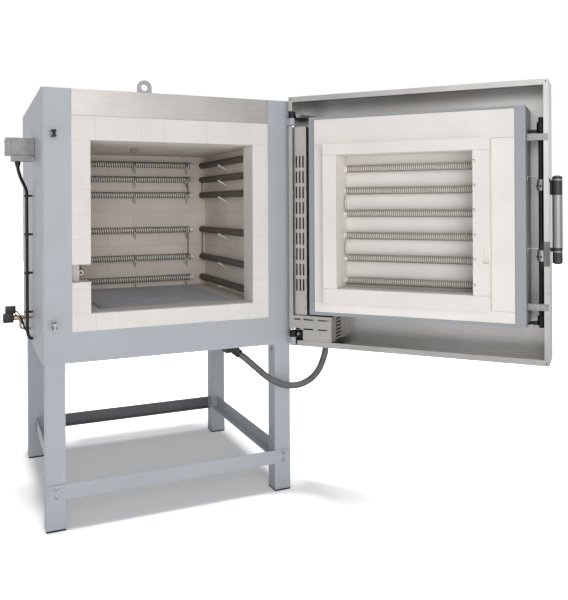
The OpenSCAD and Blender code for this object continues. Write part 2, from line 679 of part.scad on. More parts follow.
// Route of the cable from the junction box down the clips and into the case
cable_route = [[-57, 300, 702.7], [-57, 300, 690], [-55, 306, 674], [-50, 318, 657], [-42, 338, 638],
  [-32, 362, 620], [-24, 379, 605], [-20, 385, 588], [-20, 385, 560], [-20, 385, 530], [-20, 385, 490],
  [-20, 385, 450], [-20, 385, 410], [-20, 385, 370], [-20, 385, 330], [-20, 385, 290], [-20, 385, 250],
  [-20, 385, 210], [-20, 385, 170], [-20, 385, 130], [-20, 385, 90], [-20, 385, 60], [-18, 385, 44], [-13, 385, 33],
  [-6, 385, 27], [-0.3, 385, 27]];
module side_cable() color("black") translate([-side_x, front_y, base_z])
  swept_tube(cable_route, [0, 1, 0], cable_r, 8);

clip_t = 9;
clip_wall = 4;                                // clip's wall round the cable
clip_foot = 5;                                // half width of its foot
module cable_clips() color("black") for (h = clip_up)
  translate([cable_x, cable_y, base_z + h]) difference() {
    union() {
      cylinder(r = cable_r + clip_wall, h = clip_t);
      span([0, -clip_foot, 0], [-cable_x - side_x, clip_foot, clip_t]);
    }
    translate([0, 0, -cut]) cylinder(r = cable_r + seat, h = clip_t + 2 * cut);
  }

valve_y = front_y + 440;
valve_z = base_z + 103;
valve_coil_x = -side_x - 67;
valve_neck = [6, 26];                         // radius and length of the pipe into the case
valve_r = 10;                                 // radius of the valve's body
bypass = [5, 42, 44];                         // bent pipe: radius, distance from the case, drop
module purge_valve() color("goldenrod") translate([0, valve_y, valve_z]) {
  along_x(valve_neck[0], -side_x - valve_neck[1], -side_x);
  along_x(valve_r, valve_coil_x, -side_x - valve_neck[1]);
  translate([-side_x - bypass[1], 0, -bypass[2]]) {
    cylinder(r = bypass[0], h = bypass[2]);
    sphere(r = bypass[0]);
    along_x(bypass[0], 0, bypass[1]);
  }
}
valve_coil_size = [38, 34, 35];               // the coil's own block
valve_plug = [38, 26, 28];                    // its connector, set towards the case
plug_over = 8;                                // the connector stands this far over the valve's body
module valve_coil() color("black") translate([valve_coil_x, valve_y, valve_z - valve_coil_size[1] / 2]) {
  translate([-valve_coil_size[0], -valve_coil_size[1] / 2, 0]) cube(valve_coil_size);
  translate([plug_over - valve_plug[0], -valve_plug[1] / 2, valve_coil_size[2]]) cube(valve_plug);
}

// ---- door, modelled closed and turned open about the hinge pin ----
flange_cut_z = [door_z0 + 329, door_z0 + 411]; // gap in the lock rim beside the lower handle arm
arm_slot_room = 4;                            // room round a handle arm in its slot
port_wall = 3;                                // the conduit's hole is this much smaller in radius
module door_shell() color("silver") on_door() difference() {
  door_span([0, door_w], [-door_d, 0], [door_z0, door_z1]);
  door_span([shell_t, door_w - shell_t], [-door_d + shell_t, -shell_t],
            [door_z0 + shell_t, door_z1 - shell_t]);
  door_span([lock_rim_w, door_w - lock_rim_w], [-door_d + shell_t, cut], [door_z0 + rim_w, door_z1 - rim_w]);
  for (z = [lower_lug_z, upper_lug_z])
    door_span([-cut, pin_inset + hub_r + lug_room], [-notch_back, cut],
              [z - lug_room, z + lug_h + hub_h + lug_room]);
  for (z = [upper_arm_up, lower_arm_up])
    door_span([door_w - shell_t - cut, door_w + cut], [-notch_back, -arm_slot_room],
              [door_z0 + z - arm_slot_room, door_z0 + z + grip_arm_t + arm_slot_room]);
  door_span([door_w - lock_rim_w - cut, door_w + cut], [-notch_back, cut], flange_cut_z);
  at_sn(port_sn[0], port_sn[1], door_z0 - cut) cylinder(r = conduit_r - port_wall, h = shell_t + 2 * cut);
}
port_sn = [127, -54];                         // where the conduit enters the door

module door_frame() color("lightslategray") on_door() difference() {
  door_span(frame_s, [-door_d + shell_t, frame_proud], frame_z);
  door_span([frame_s[0] + frame_t, frame_s[1] - frame_t], [-door_d, frame_proud - frame_t],
            [frame_z[0] + frame_t, frame_z[1] - frame_t]);
  door_span(field_s, [-door_d, frame_proud + cut], field_z);
}

module door_lining() color("antiquewhite") on_door() difference() {
  door_span([frame_s[0] + frame_t + lining_gap, frame_s[1] - frame_t - lining_gap],
            [-door_d + shell_t + lining_gap, frame_proud - frame_t - lining_gap],
            [frame_z[0] + frame_t + lining_gap, frame_z[1] - frame_t - lining_gap]);
  door_span([field_s[0], field_s[1]], [brick_back - lining_gap, frame_proud], [field_z[0], field_z[1]]);
}
brick_back = -recess_back - 30;

// Four bars round a rectangular hole, from an outer to an inner outline
module bar_ring(s, z, hole_s, hole_z, n) {
  door_span([s[0], s[1]], n, [z[0], hole_z[0]]);
  door_span([s[0], s[1]], n, [hole_z[1], z[1]]);
  door_span([s[0], hole_s[0]], n, [hole_z[0] + joint, hole_z[1] - joint]);
  door_span([hole_s[1], s[1]], n, [hole_z[0] + joint, hole_z[1] - joint]);
}
plug_notch = [door_z0 + 340, door_z0 + 388];
plug_notch_size = [20, 30];                   // width and depth of the notch in the plug's free edge
module door_bricks() color("linen") on_door() {
  bar_ring([field_s[0] + seat, field_s[1] - seat], [field_z[0] + seat, field_z[1] - seat],
    [plug_s0 - joint, plug_s1 + joint], [plug_z0 - joint, plug_z1 + joint], [brick_back, brick_proud]);
  difference() {
    bar_ring([plug_s0, plug_s1], [plug_z0, plug_z1], recess_s, recess_z, [-recess_back, plug_n]);
    door_span([plug_s1 - plug_notch_size[0], plug_s1 + cut],
              [plug_n - plug_notch_size[1], plug_n + cut], plug_notch);
  }
  door_span([plug_s0, plug_s1], [brick_back, -recess_back - seat], [plug_z0, plug_z1]);
}

module on_door_rows() for (h = door_row_heights)
  on_door() at_sn(recess_s[1], door_row_n, recess_z[0] + h) children();
recess_len = recess_s[1] - recess_s[0];
module door_coils() color("tan") on_door_rows()
  translate([row_end_gap, 0, 0]) winding(recess_len - 2 * row_end_gap, coil_out, coil_in);
module door_tubes() color("white") on_door_rows() tube(seat, recess_len - seat);

module hinge_arms() color("silver") on_door() for (z = [lower_lug_z, upper_lug_z])
  translate([0, 0, z + lug_h + seat]) {
    difference() {
      union() {
        cylinder(r = hub_r, h = hub_h);
        translate([0, 0, hub_step]) linear_extrude(arm_t) polygon([
          [0, -hub_r + 1], [hub_r - 1, -hub_r + 1], [hub_r - 1, -arm_root], [-arm_reach * 0.55, -arm_root],
          [-arm_reach * 0.3, -hub_r - 20], [-hub_r, -hub_r + 4]]);
      }
      translate([0, 0, -cut]) cylinder(r = hinge_pin_r + hinge_play, h = hub_h + 2 * cut);
    }
  }
arm_root = door_d - shell_t;                  // a hinge arm reaches back to the shell's rear wall
hub_step = 4;                                 // its plate stands this far above the hub's foot

module slotted_cover() color("silver") on_door() difference() {
  union() {
    door_span([shell_t + seat, cover_s], [-cover_n - shell_t, -cover_n], cover_z);
    door_span([cover_s - shell_t, cover_s], [-door_d + shell_t, -cover_n - shell_t], cover_z);
  }
  for (row = [0:8], col = [0:2]) {
    s = cover_slot_at[0] + cover_slot_pitch[0] * col;
    z = cover_z[0] + cover_slot_at[1] + cover_slot_pitch[1] * row;
    door_span([s, s + cover_slot[0]], [-cover_n - 3 * shell_t, -cover_n + cut], [z, z + cover_slot[1]]);
  }
}
cover_n = 12;                                 // the cover stands this far behind the rim
cover_slot = [6, 45];                         // width and height of a slot
cover_slot_at = [24, 92];                     // the first slot, from the hinge edge and the cover's foot
cover_slot_pitch = [14, 59];

module terminal_box() color("silver") on_door() difference() {
  union() {
    door_span([lock_rim_w + seat, box_s], [-shell_t, 0], [door_z0 + rim_w + seat, box_top]);
    door_span([box_s - shell_t, box_s], [-door_d + shell_t, -shell_t], [door_z0 + rim_w + seat, box_top]);
    door_span([shell_t + seat, box_s - shell_t], [-door_d + shell_t, -shell_t], [box_top - shell_t, box_top]);
  }
  door_span([0, box_notch_s], [-notch_back, cut], [door_z0, lower_lug_z + lug_h + hub_h + lug_room]);
  for (down = box_slot_down, s = box_slots)
    door_span(s, [-3 * shell_t, cut], [box_top - down - box_slot_h, box_top - down]);
  for (i = [0:6]) {
    z = box_top - box_louvre_down - box_louvre_pitch * i;
    door_span([box_s - 3 * shell_t, box_s + cut], box_louvre_n, [z - box_louvre_h, z]);
  }
}
box_notch_s = 56;                             // width of the cut-out round the lower hinge
box_slots = [[20, 46], [59, 99], [117, 155]]; // slots in its front, in two rows
box_slot_down = [12, 48];                     // rows of slots below its top
box_slot_h = 5;
box_louvre_n = [-104, -50];                   // slots in its side, from front to back
box_louvre_down = 9;
box_louvre_h = 7;
box_louvre_pitch = 13.6;

module door_conduit() color("gray") translate([0, front_y, 0])
  swept_tube(conduit_route, [0.351, 0.937, 0], conduit_r, 12);

// ---- door lock ----
bearing_h = 22;
bearing_up = [194, 758];
bearing_plate_t = 3;                          // plate from the door frame to the rim
bearing_wall = [11, 13];                      // block beside and behind the shaft's axis
module lock_bearings() color("silver") on_door() for (h = bearing_up)
  translate([0, 0, door_z0 + h - bearing_h / 2]) difference() {
    union() {
      door_span([frame_s[1] + 1, door_w - shell_t], [0, bearing_plate_t], [0, bearing_h]);
      door_span([shaft_s - bearing_wall[0], door_w - lock_rim_w - seat],
                [-shaft_back - bearing_wall[1], 0], [0, bearing_h]);
    }
    at_sn(shaft_s, -shaft_back, -cut) cylinder(r = shaft_r + shaft_play, h = bearing_h + 2 * cut);
  }

shaft_over = [8, 45];                         // how far the shaft runs past the lower and upper claw
shaft_z = [door_z0 + lower_claw_up - claw_t / 2 - shaft_over[0], door_z0 + upper_claw_up + shaft_over[1]];
module lock_shaft() color("black") on_shaft() translate([0, 0, shaft_z[0]])
  cylinder(r = shaft_r, h = shaft_z[1] - shaft_z[0]);

// A claw seen from above: a hub, and a hooked sector whose groove runs round the shaft's axis
catch_r = norm([catch_s - shaft_s, catch_n + shaft_back]);
catch_angle = atan2(catch_n + shaft_back, shaft_s - catch_s);
groove_w = catch_pin_r + catch_clear;
shaft_fit = 0.1;                              // radial gap of the claws and arms on the shaft
claw_hub_r = 13;
claw_hub_h = 32;
module wedge(a, b, r) polygon([[0, 0],
  for (i = [0:8]) let (t = a + (b - a) * i / 8) 2 * r * [cos(t), sin(t)]]);
module claw_outline() difference() {
  union() {
    intersection() {
      circle(r = claw_r);
      wedge(-38, catch_angle + 18, claw_r);
    }
    circle(r = claw_hub_r);
  }
  intersection() {
    difference() {
      circle(r = catch_r + groove_w);
      circle(r = catch_r - groove_w);
    }
    wedge(catch_angle, catch_angle + 60, claw_r);
  }
  translate(catch_r * [cos(catch_angle), sin(catch_angle)]) circle(r = groove_w);
  circle(r = shaft_r + shaft_fit);
}
module lock_claws() color("dimgray") on_shaft()
  for (up = [upper_claw_up, lower_claw_up]) translate([0, 0, door_z0 + up - claw_t / 2]) {
    linear_extrude(claw_t) claw_outline();
    translate([0, 0, claw_t]) difference() {
      cylinder(r = claw_hub_r, h = claw_hub_h - claw_t);
      translate([0, 0, -cut]) cylinder(r = shaft_r + shaft_fit, h = claw_hub_h);
    }
  }

grip_angle = 201;                             // where the grip stands when the door is locked
grip_z = door_z0 + 392;
arm_hub_h = 32;
grip_arm_w = 9;
grip_at = grip_swing * [cos(grip_angle), sin(grip_angle)];
module handle_arms() color("silver") on_shaft() for (up = [upper_arm_up, lower_arm_up])
  translate([0, 0, door_z0 + up]) rotate([0, 0, grip_angle]) {
    linear_extrude(grip_arm_t) difference() {
      union() {
        translate([0, -grip_arm_w]) square([grip_swing, 2 * grip_arm_w]);
        translate([grip_swing, 0]) circle(r = grip_r);
        circle(r = claw_hub_r);
      }
      circle(r = shaft_r + shaft_fit);
    }
    translate([0, 0, -arm_hub_h]) linear_extrude(arm_hub_h) difference() {
      circle(r = claw_hub_r);
      circle(r = shaft_r + shaft_fit);
    }
  }

module handle_tube() color("lightgray") on_shaft() translate([grip_at[0], grip_at[1], grip_z]) difference() {
  cylinder(r = grip_r, h = grip_len);
  translate([0, 0, -cut]) cylinder(r = grip_r - 3, h = grip_len + 2 * cut);
}

// The grip's black ends: a body between the tube and the arm, and a rounded end beyond the arm
module grip_dome(h) intersection() {
  cylinder(r = grip_r, h = h);
  translate([0, 0, h - dome_r]) sphere(r = dome_r);
}
dome_r = 30;
dome_h = [12, 40];                            // height of the upper and the lower end
cap_lean = 22;                                // how far a cap's body reaches towards the shaft
module cap_block(h) rotate([0, 0, grip_angle]) linear_extrude(h) {
  circle(r = grip_r);
  translate([-cap_lean, -grip_arm_w]) square([cap_lean, 2 * grip_arm_w]);
}
module handle_caps() color("black") on_shaft() translate([grip_at[0], grip_at[1], 0]) {
  upper = door_z0 + upper_arm_up;
  lower = door_z0 + lower_arm_up;
  translate([0, 0, grip_z + grip_len]) cap_block(upper - grip_z - grip_len);
  translate([0, 0, upper + grip_arm_t]) grip_dome(dome_h[0]);
  translate([0, 0, lower + grip_arm_t]) cap_block(grip_z - lower - grip_arm_t);
  translate([0, 0, lower]) mirror([0, 0, 1]) grip_dome(dome_h[1]);
}

front_left_leg();
front_right_leg();
rear_left_leg();
rear_right_leg();
foot_plates();
front_rail();
rear_rail();
left_rail();
right_rail();
stand_bolts();
floor_panel();
left_panel();
right_panel();
rear_panel();
roof_panel();
front_frame();
header_panel();
collar_bricks();
left_lining();
right_lining();
rear_lining();
roof_lining();
floor_lining();
hearth_plate();
left_coils();
right_coils();
rear_coils();
floor_coils();
coil_tubes();
support_pins();
coil_links();
thermocouple();
rear_cover();
lifting_lugs();
lock_catches();
hinge_lugs();
hinge_pins();
conduit_gland();
junction_box();
side_cable();
cable_clips();
purge_valve();
valve_coil();
door_shell();
door_frame();
door_lining();
door_bricks();
door_coils();
door_tubes();
hinge_arms();
slotted_cover();
terminal_box();
door_conduit();
lock_bearings();
lock_shaft();
lock_claws();
handle_arms();
handle_tube();
handle_caps();
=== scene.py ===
import json
import math
import random

import bmesh
import bpy
from mathutils import Matrix, Vector

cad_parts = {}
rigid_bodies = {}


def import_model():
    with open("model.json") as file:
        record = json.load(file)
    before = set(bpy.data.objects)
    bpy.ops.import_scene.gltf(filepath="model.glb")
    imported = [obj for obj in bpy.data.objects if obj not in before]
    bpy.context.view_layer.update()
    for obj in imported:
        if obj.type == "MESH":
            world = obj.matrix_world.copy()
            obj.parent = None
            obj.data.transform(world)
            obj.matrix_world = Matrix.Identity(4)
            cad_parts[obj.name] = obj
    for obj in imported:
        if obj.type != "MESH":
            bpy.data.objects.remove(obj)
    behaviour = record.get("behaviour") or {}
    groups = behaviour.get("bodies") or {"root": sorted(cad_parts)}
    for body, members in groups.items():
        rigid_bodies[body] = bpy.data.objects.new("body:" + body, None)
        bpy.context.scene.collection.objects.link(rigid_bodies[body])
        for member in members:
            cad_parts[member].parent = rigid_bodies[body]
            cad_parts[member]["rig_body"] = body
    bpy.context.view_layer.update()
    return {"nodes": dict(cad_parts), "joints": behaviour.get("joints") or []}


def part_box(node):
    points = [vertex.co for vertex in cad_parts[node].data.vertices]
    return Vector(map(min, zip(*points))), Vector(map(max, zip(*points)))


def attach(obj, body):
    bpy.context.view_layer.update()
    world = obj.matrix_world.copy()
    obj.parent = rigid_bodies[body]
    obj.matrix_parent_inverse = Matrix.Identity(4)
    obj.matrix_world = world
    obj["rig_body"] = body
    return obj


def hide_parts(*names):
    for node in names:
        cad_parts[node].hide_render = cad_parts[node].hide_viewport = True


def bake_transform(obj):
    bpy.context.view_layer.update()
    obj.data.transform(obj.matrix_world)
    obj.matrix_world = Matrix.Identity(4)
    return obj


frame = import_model()
cadNodes = frame["nodes"]
joints = {joint["name"]: joint for joint in frame["joints"]}
scene = bpy.context.scene
scene.view_settings.view_transform = "Standard"
mm = 0.001
random.seed(7)

# The door stands open: its own directions are s from the hinge edge and n into the furnace
door = {
    "hinge": Vector(joints["door_swing"]["pos_m"]) * Vector((1, 1, 0)),
    "openAngle": -joints["door_swing"]["range_deg"][0],
    "pinInset": 15.5 * mm,
}
doorPlace = Matrix.Translation(door["hinge"]) @ Matrix.Rotation(math.radians(door["openAngle"]), 4, "Z")


def onDoor(s, n, z):
    # A place on the door, in millimetres, as a point in the room
    return doorPlace @ Vector((door["pinInset"] - s * mm, n * mm, z * mm))


camera = {
    "place": (-0.6793, -2.909, 1.1036),
    "yaw": -24.1,
    "roll": -0.3,
    "lens": 42.2,
    "shift": (-0.0015, -0.159),
}


def makeCamera():
    data = bpy.data.cameras.new("camera")
    eye = bpy.data.objects.new("camera", data)
    scene.collection.objects.link(eye)
    data.lens = camera["lens"]
    data.shift_x, data.shift_y = camera["shift"]
    eye.location = camera["place"]
    level = Matrix.Rotation(math.radians(90), 4, "X")
    turn = Matrix.Rotation(math.radians(camera["yaw"]), 4, "Z") @ level
    eye.rotation_euler = (turn @ Matrix.Rotation(math.radians(camera["roll"]), 4, "Z")).to_euler()
    scene.camera = eye


makeCamera()
print("camera in place")


def shade(colour, factor):
    return tuple(channel * factor for channel in colour)


class Finish:
    # A material with a few helpers for the textures that feed it
    def __init__(self, name, roughness, metallic=0.0, **sockets):
        self.material = bpy.data.materials.new(name)
        self.material.use_nodes = True
        self.nodes = self.material.node_tree.nodes
        self.links = self.material.node_tree.links
        self.shader = self.nodes["Principled BSDF"]
        self.shader.inputs["Roughness"].default_value = roughness
        self.shader.inputs["Metallic"].default_value = metallic
        for socket, value in sockets.items():
            self.shader.inputs[socket.replace("_", " ")].default_value = value

    def place(self, stretch=(1, 1, 1), turn=None):
        coords = self.nodes.new("ShaderNodeTexCoord")
        mapping = self.nodes.new("ShaderNodeMapping")
        mapping.inputs["Scale"].default_value = stretch
        if turn:
            mapping.inputs["Rotation"].default_value = turn
        self.links.new(coords.outputs["Object"], mapping.inputs["Vector"])
        return mapping.outputs["Vector"]

    def noise(self, scale, detail=4, stretch=(1, 1, 1), turn=None, rough=0.55):
        node = self.nodes.new("ShaderNodeTexNoise")
        node.inputs["Scale"].default_value = scale
        node.inputs["Detail"].default_value = detail
        node.inputs["Roughness"].default_value = rough
        if turn:
            # turned first and stretched after, so that the lines follow the turn
            stretcher = self.nodes.new("ShaderNodeMapping")
            stretcher.inputs["Scale"].default_value = stretch
            self.links.new(self.place(turn=turn), stretcher.inputs["Vector"])
            vector = stretcher.outputs["Vector"]
        else:
            vector = self.place(stretch)
        self.links.new(vector, node.inputs["Vector"])
        return node.outputs["Fac"]

    def ramp(self, value, stops):
        node = self.nodes.new("ShaderNodeValToRGB")
        ends = node.color_ramp.elements
        while len(ends) < len(stops):
            ends.new(0.5)
        for end, (at, colour) in zip(ends, stops):
            end.position = at
            end.color = (*colour, 1)
        self.links.new(value, node.inputs["Fac"])
        return node.outputs["Color"]

    def shades(self, value, colour, factors, ends=(0.3, 0.7)):
        # The colour as it varies between two shades of itself
        return self.ramp(value, [(at, shade(colour, factor)) for at, factor in zip(ends, factors)])

    def multiplied(self, share, first, second):
        node = self.nodes.new("ShaderNodeMix")
        node.data_type = "RGBA"
        node.blend_type = "MULTIPLY"
        node.inputs[0].default_value = share
        self.links.new(first, node.inputs[6])
        self.links.new(second, node.inputs[7])
        return node.outputs[2]

    def range(self, value, low, high, ends=(0, 1)):
        node = self.nodes.new("ShaderNodeMapRange")
        node.inputs["From Min"].default_value, node.inputs["From Max"].default_value = ends
        node.inputs["To Min"].default_value = low
        node.inputs["To Max"].default_value = high
        self.links.new(value, node.inputs["Value"])
        return node.outputs["Result"]

    def calculate(self, operation, first, second=None):
        node = self.nodes.new("ShaderNodeMath")
        node.operation = operation
        self.links.new(first, node.inputs[0])
        if isinstance(second, bpy.types.NodeSocket):
            self.links.new(second, node.inputs[1])
        elif second is not None:
            node.inputs[1].default_value = second
        return node.outputs[0]

    def colour(self, value):
        self.links.new(value, self.shader.inputs["Base Color"])

    def roughness(self, value):
        self.links.new(value, self.shader.inputs["Roughness"])

    def bump(self, height, strength, distance):
        node = self.nodes.new("ShaderNodeBump")
        node.inputs["Strength"].default_value = strength
        node.inputs["Distance"].default_value = distance
        self.links.new(height, node.inputs["Height"])
        if self.shader.inputs["Normal"].links:
            self.links.new(self.shader.inputs["Normal"].links[0].from_socket, node.inputs["Normal"])
        self.links.new(node.outputs["Normal"], self.shader.inputs["Normal"])


stoved = {
    "specular": 0.42,
    "tone": 2.2,
    "shades": (0.965, 1.03),
    "peel": 620,
    "peelBump": (0.08, 0.0004),
    "dulling": 14,
}


def paint(name, colour, roughness=0.42):
    # Smooth stoved paint: a faint orange peel and a slow change of tone
    made = Finish(name, roughness, Specular_IOR_Level=stoved["specular"])
    made.colour(made.shades(made.noise(stoved["tone"], 3), colour, stoved["shades"]))
    made.bump(made.noise(stoved["peel"], 2), *stoved["peelBump"])
    made.roughness(made.range(made.noise(stoved["dulling"], 4), roughness - 0.05, roughness + 0.07))
    return made.material


grinding = {
    "lines": 160,
    "contrast": (0.17, 0.13),                 # how much the lines darken and lighten the steel
    "lineEnds": (0.3, 0.72),
    "clouds": 3.2,
    "cloudTint": (1, 0.98, 0.96),
    "cloudEnds": (0.36, 0.64),
    "bump": (0.1, 0.0003),
}


def brushedSteel(name, colour, roughness, stretch, turn=None, grain=1.0, cloud=0.86):
    # Sheet with fine grinding lines that run along one direction
    made = Finish(name, roughness, 1.0)
    lines = made.noise(grinding["lines"], 4, stretch, turn, 0.62)
    broad = made.noise(grinding["clouds"], 3)
    darker, lighter = grinding["contrast"]
    streaks = made.shades(lines, colour, (1 - darker * grain, 1 + lighter * grain), grinding["lineEnds"])
    dim, clear = grinding["cloudEnds"]
    clouds = made.ramp(broad, [(dim, shade(grinding["cloudTint"], cloud)), (clear, (1, 1, 1))])
    made.colour(made.multiplied(1.0, streaks, clouds))
    made.roughness(made.range(lines, roughness - 0.1, roughness + 0.12))
    made.bump(lines, *grinding["bump"])
    return made.material


firebrick = {
    "tone": 5.5,
    "shades": (0.95, 1.03),
    "pores": 900,
    "poreStops": [(0.24, (0.78, 0.76, 0.73)), (0.4, (1, 1, 1))],
    "poreBump": (0.22, 0.0005),
    "jointWidth": 0.0011,
    "jointTint": (1, 0.985, 0.96),
    "jointBump": (-0.35, 0.0006),
    "secondBrick": (0.945, 0.94, 0.93, 1),
}


def brickwork(name, colour, turn=None, brick=None, jointShade=0.8):
    # Pale insulating brick: fine pores, a slow change of tone and thin joints in a running bond
    made = Finish(name, 0.93, Specular_IOR_Level=0.2)
    tone = made.shades(made.noise(firebrick["tone"], 4), colour, firebrick["shades"])
    pores = made.noise(firebrick["pores"], 3, rough=0.7)
    surface = made.multiplied(0.8, tone, made.ramp(pores, firebrick["poreStops"]))
    if brick:
        course = made.nodes.new("ShaderNodeTexBrick")
        made.links.new(made.place(turn=turn), course.inputs["Vector"])
        course.inputs["Scale"].default_value = 1.0
        course.inputs["Brick Width"].default_value = brick[0]
        course.inputs["Row Height"].default_value = brick[1]
        course.inputs["Mortar Size"].default_value = firebrick["jointWidth"]
        course.inputs["Mortar Smooth"].default_value = 0.25
        course.inputs["Color1"].default_value = (1, 1, 1, 1)
        course.inputs["Color2"].default_value = firebrick["secondBrick"]
        course.inputs["Mortar"].default_value = (*shade(firebrick["jointTint"], jointShade), 1)
        surface = made.multiplied(1.0, surface, course.outputs["Color"])
        made.bump(course.outputs["Fac"], *firebrick["jointBump"])
    made.bump(pores, *firebrick["poreBump"])
    made.colour(surface)
    return made.material


def firedCeramic(name, colour, roughness):
    made = Finish(name, roughness, Specular_IOR_Level=0.35)
    made.colour(made.shades(made.noise(70, 3), colour, (0.92, 1.03)))
    made.bump(made.noise(1500, 2), 0.15, 0.0002)
    return made.material


carbide = {"dust": 9, "shades": (0.9, 1.22), "ends": (0.32, 0.75), "grit": 1400}


def carbidePlate(name, colour):
    # Dense dark plate with pale dust and fine grit
    made = Finish(name, 0.62, Specular_IOR_Level=0.4)
    dust = made.noise(carbide["dust"], 5, (1, 0.6, 1))
    base = made.shades(dust, colour, carbide["shades"], carbide["ends"])
    speckle = made.noise(carbide["grit"], 2, rough=0.7)
    grit = made.ramp(speckle, [(0.3, (0.8, 0.8, 0.8)), (0.62, (1.0, 1.0, 1.0))])
    made.colour(made.multiplied(0.7, base, grit))
    made.bump(made.noise(carbide["grit"], 2), 0.25, 0.0004)
    return made.material


def heaterWire(name, colour, roughness, metallic):
    # Resistance wire with the dull skin that heat gives it
    made = Finish(name, roughness, metallic, Specular_IOR_Level=0.4)
    skin = made.noise(240, 4, rough=0.65)
    made.colour(made.shades(skin, colour, (0.72, 1, 1.35), (0.3, 0.55, 0.8)))
    made.bump(skin, 0.2, 0.0003)
    return made.material


def darkMoulding(name, colour, roughness):
    made = Finish(name, roughness, Specular_IOR_Level=0.45)
    made.colour(made.shades(made.noise(30, 3), colour, (0.85, 1.2)))
    made.bump(made.noise(900, 2), 0.18, 0.0003)
    return made.material


def plated(name, colour, roughness):
    # Zinc, blackened steel or brass: metal with a mottled skin
    made = Finish(name, roughness, 1.0)
    mottle = made.noise(85, 4, rough=0.6)
    made.colour(made.shades(mottle, colour, (0.8, 1.12)))
    made.roughness(made.range(mottle, roughness - 0.08, roughness + 0.12))
    made.bump(mottle, 0.08, 0.0003)
    return made.material


def rotated(*steps):
    # The turn of a texture: (degrees, axis) pairs, the first one done first
    turn = Matrix.Identity(3)
    for degrees, axis in steps:
        turn = Matrix.Rotation(math.radians(degrees), 3, axis) @ turn
    return tuple(turn.to_euler())


withDoor = (-door["openAngle"], "Z")
turns = {
    "door": rotated(withDoor),
    "plug": rotated(withDoor, (-90, "X")),
    "rear": rotated((-90, "X")),
    "side": rotated((-90, "Z"), (-90, "X")),
}
# How a grinding pattern is stretched: its lines lie along the axis with the smallest number
linesAlong = {"level": (0.12, 1, 14), "box": (0.2, 1, 12), "upright": (14, 14, 0.2), "tube": (14, 14, 0.3)}
# Brick length and row height of each pattern, in metres
brickSize = {"wall": (0.23, 0.0765), "roof": (0.3, 0.115), "floor": (0.23, 0.115)}

finishes = {
    "casePaint": paint("casePaint", (0.435, 0.462, 0.497)),
    # A darker copy of the case paint for the side and floor panels: painted shade
    "shadedCasePaint": paint("shadedCasePaint", (0.42, 0.447, 0.478)),
    "standPaint": paint("standPaint", (0.44, 0.47, 0.508), 0.38),
    # The stand paint darkened for the rear rail: painted shade
    "railSteel": paint("railSteel", (0.145, 0.15, 0.158), 0.5),
    "framePaint": paint("framePaint", (0.335, 0.352, 0.375), 0.36),
    "header": brushedSteel("headerSteel", (0.36, 0.345, 0.335), 0.36, linesAlong["level"]),
    "doorSheet": brushedSteel("doorSheet", (0.44, 0.43, 0.42), 0.33, linesAlong["level"], turns["door"],
                              cloud=0.85),
    "coverSheet": brushedSteel("coverSheet", (0.47, 0.45, 0.435), 0.4, linesAlong["upright"], turns["door"],
                               grain=0.6),
    "boxSheet": brushedSteel("boxSheet", (0.42, 0.405, 0.39), 0.42, linesAlong["box"], turns["door"],
                             grain=0.7),
    "collarBrick": brickwork("collarBrick", (0.80, 0.772, 0.735)),
    "mortar": brickwork("mortar", (0.72, 0.69, 0.65)),
    "doorBrick": brickwork("doorBrick", (0.86, 0.825, 0.79)),
    "plugBack": brickwork("plugBack", (0.66, 0.615, 0.565), turns["plug"], brickSize["wall"], 0.9),
    "rearBrick": brickwork("rearBrick", (0.83, 0.76, 0.685), turns["rear"], brickSize["wall"]),
    # A lighter copy of the firebrick for the chamber's side walls: painted light that brightens them
    "litSideBrick": brickwork("litSideBrick", (0.92, 0.86, 0.79), turns["side"], brickSize["wall"]),
    "roofBrick": brickwork("roofBrick", (0.83, 0.77, 0.70), None, brickSize["roof"]),
    "floorBrick": brickwork("floorBrick", (0.78, 0.75, 0.71), None, brickSize["floor"]),
    "hearth": carbidePlate("hearthCarbide", (0.56, 0.58, 0.66)),
    "wire": heaterWire("heaterWire", (0.12, 0.102, 0.085), 0.55, 0.25),
    "doorWire": heaterWire("doorWire", (0.40, 0.365, 0.315), 0.5, 0.15),
    "ceramic": firedCeramic("firedCeramic", (0.90, 0.875, 0.835), 0.45),
    "sleeve": firedCeramic("sleeveCeramic", (0.30, 0.27, 0.24), 0.7),
    "lug": plated("lugSteel", (0.26, 0.265, 0.275), 0.45),
    "zinc": plated("zincPlate", (0.36, 0.365, 0.375), 0.4),
    "blackSteel": plated("blackSteel", (0.028, 0.027, 0.028), 0.42),
    "brass": plated("machinedBrass", (0.42, 0.34, 0.22), 0.4),
    "grip": brushedSteel("gripAluminium", (0.28, 0.28, 0.285), 0.45, linesAlong["tube"], grain=0.5),
    "blackPlastic": darkMoulding("blackPlastic", (0.008, 0.008, 0.009), 0.45),
    "capPlastic": darkMoulding("capPlastic", (0.013, 0.015, 0.017), 0.4),
    "cable": darkMoulding("cableJacket", (0.005, 0.005, 0.006), 0.55),
    "conduit": darkMoulding("conduitGrey", (0.10, 0.104, 0.107), 0.4),
    "boxPlastic": darkMoulding("boxPlastic", (0.33, 0.32, 0.315), 0.45),
    # Near black for the rim's seams and for discs that stand in for holes: painted shade
    "gap": darkMoulding("shadowGap", (0.012, 0.012, 0.013), 0.8),
}
print("finishes mixed")


edges = {
    "sharpAbove": 40,                         # degrees between two faces, for their edge to be rounded
    "roundSharpAbove": 45,                    # the same on cylinders and cones
    "flatWithin": 0.6,                        # degrees between two faces that become one
    "mergeWithin": 0.02 * mm,
    "shadeSharpAbove": 50,                    # degrees between two faces, for their edge to look sharp
    "normalWeight": 80,
}


def makePiece(name, bm, material, body=None, replaced=()):
    # Turns a finished bmesh into a piece that rides on a body
    mesh = bpy.data.meshes.new(name)
    bm.to_mesh(mesh)
    bm.free()
    piece = bpy.data.objects.new(name, mesh)
    scene.collection.objects.link(piece)
    mesh.materials.append(material)
    for face in mesh.polygons:
        face.use_smooth = True
    if body:
        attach(piece, body)
    if replaced:
        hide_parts(*replaced)
    return piece


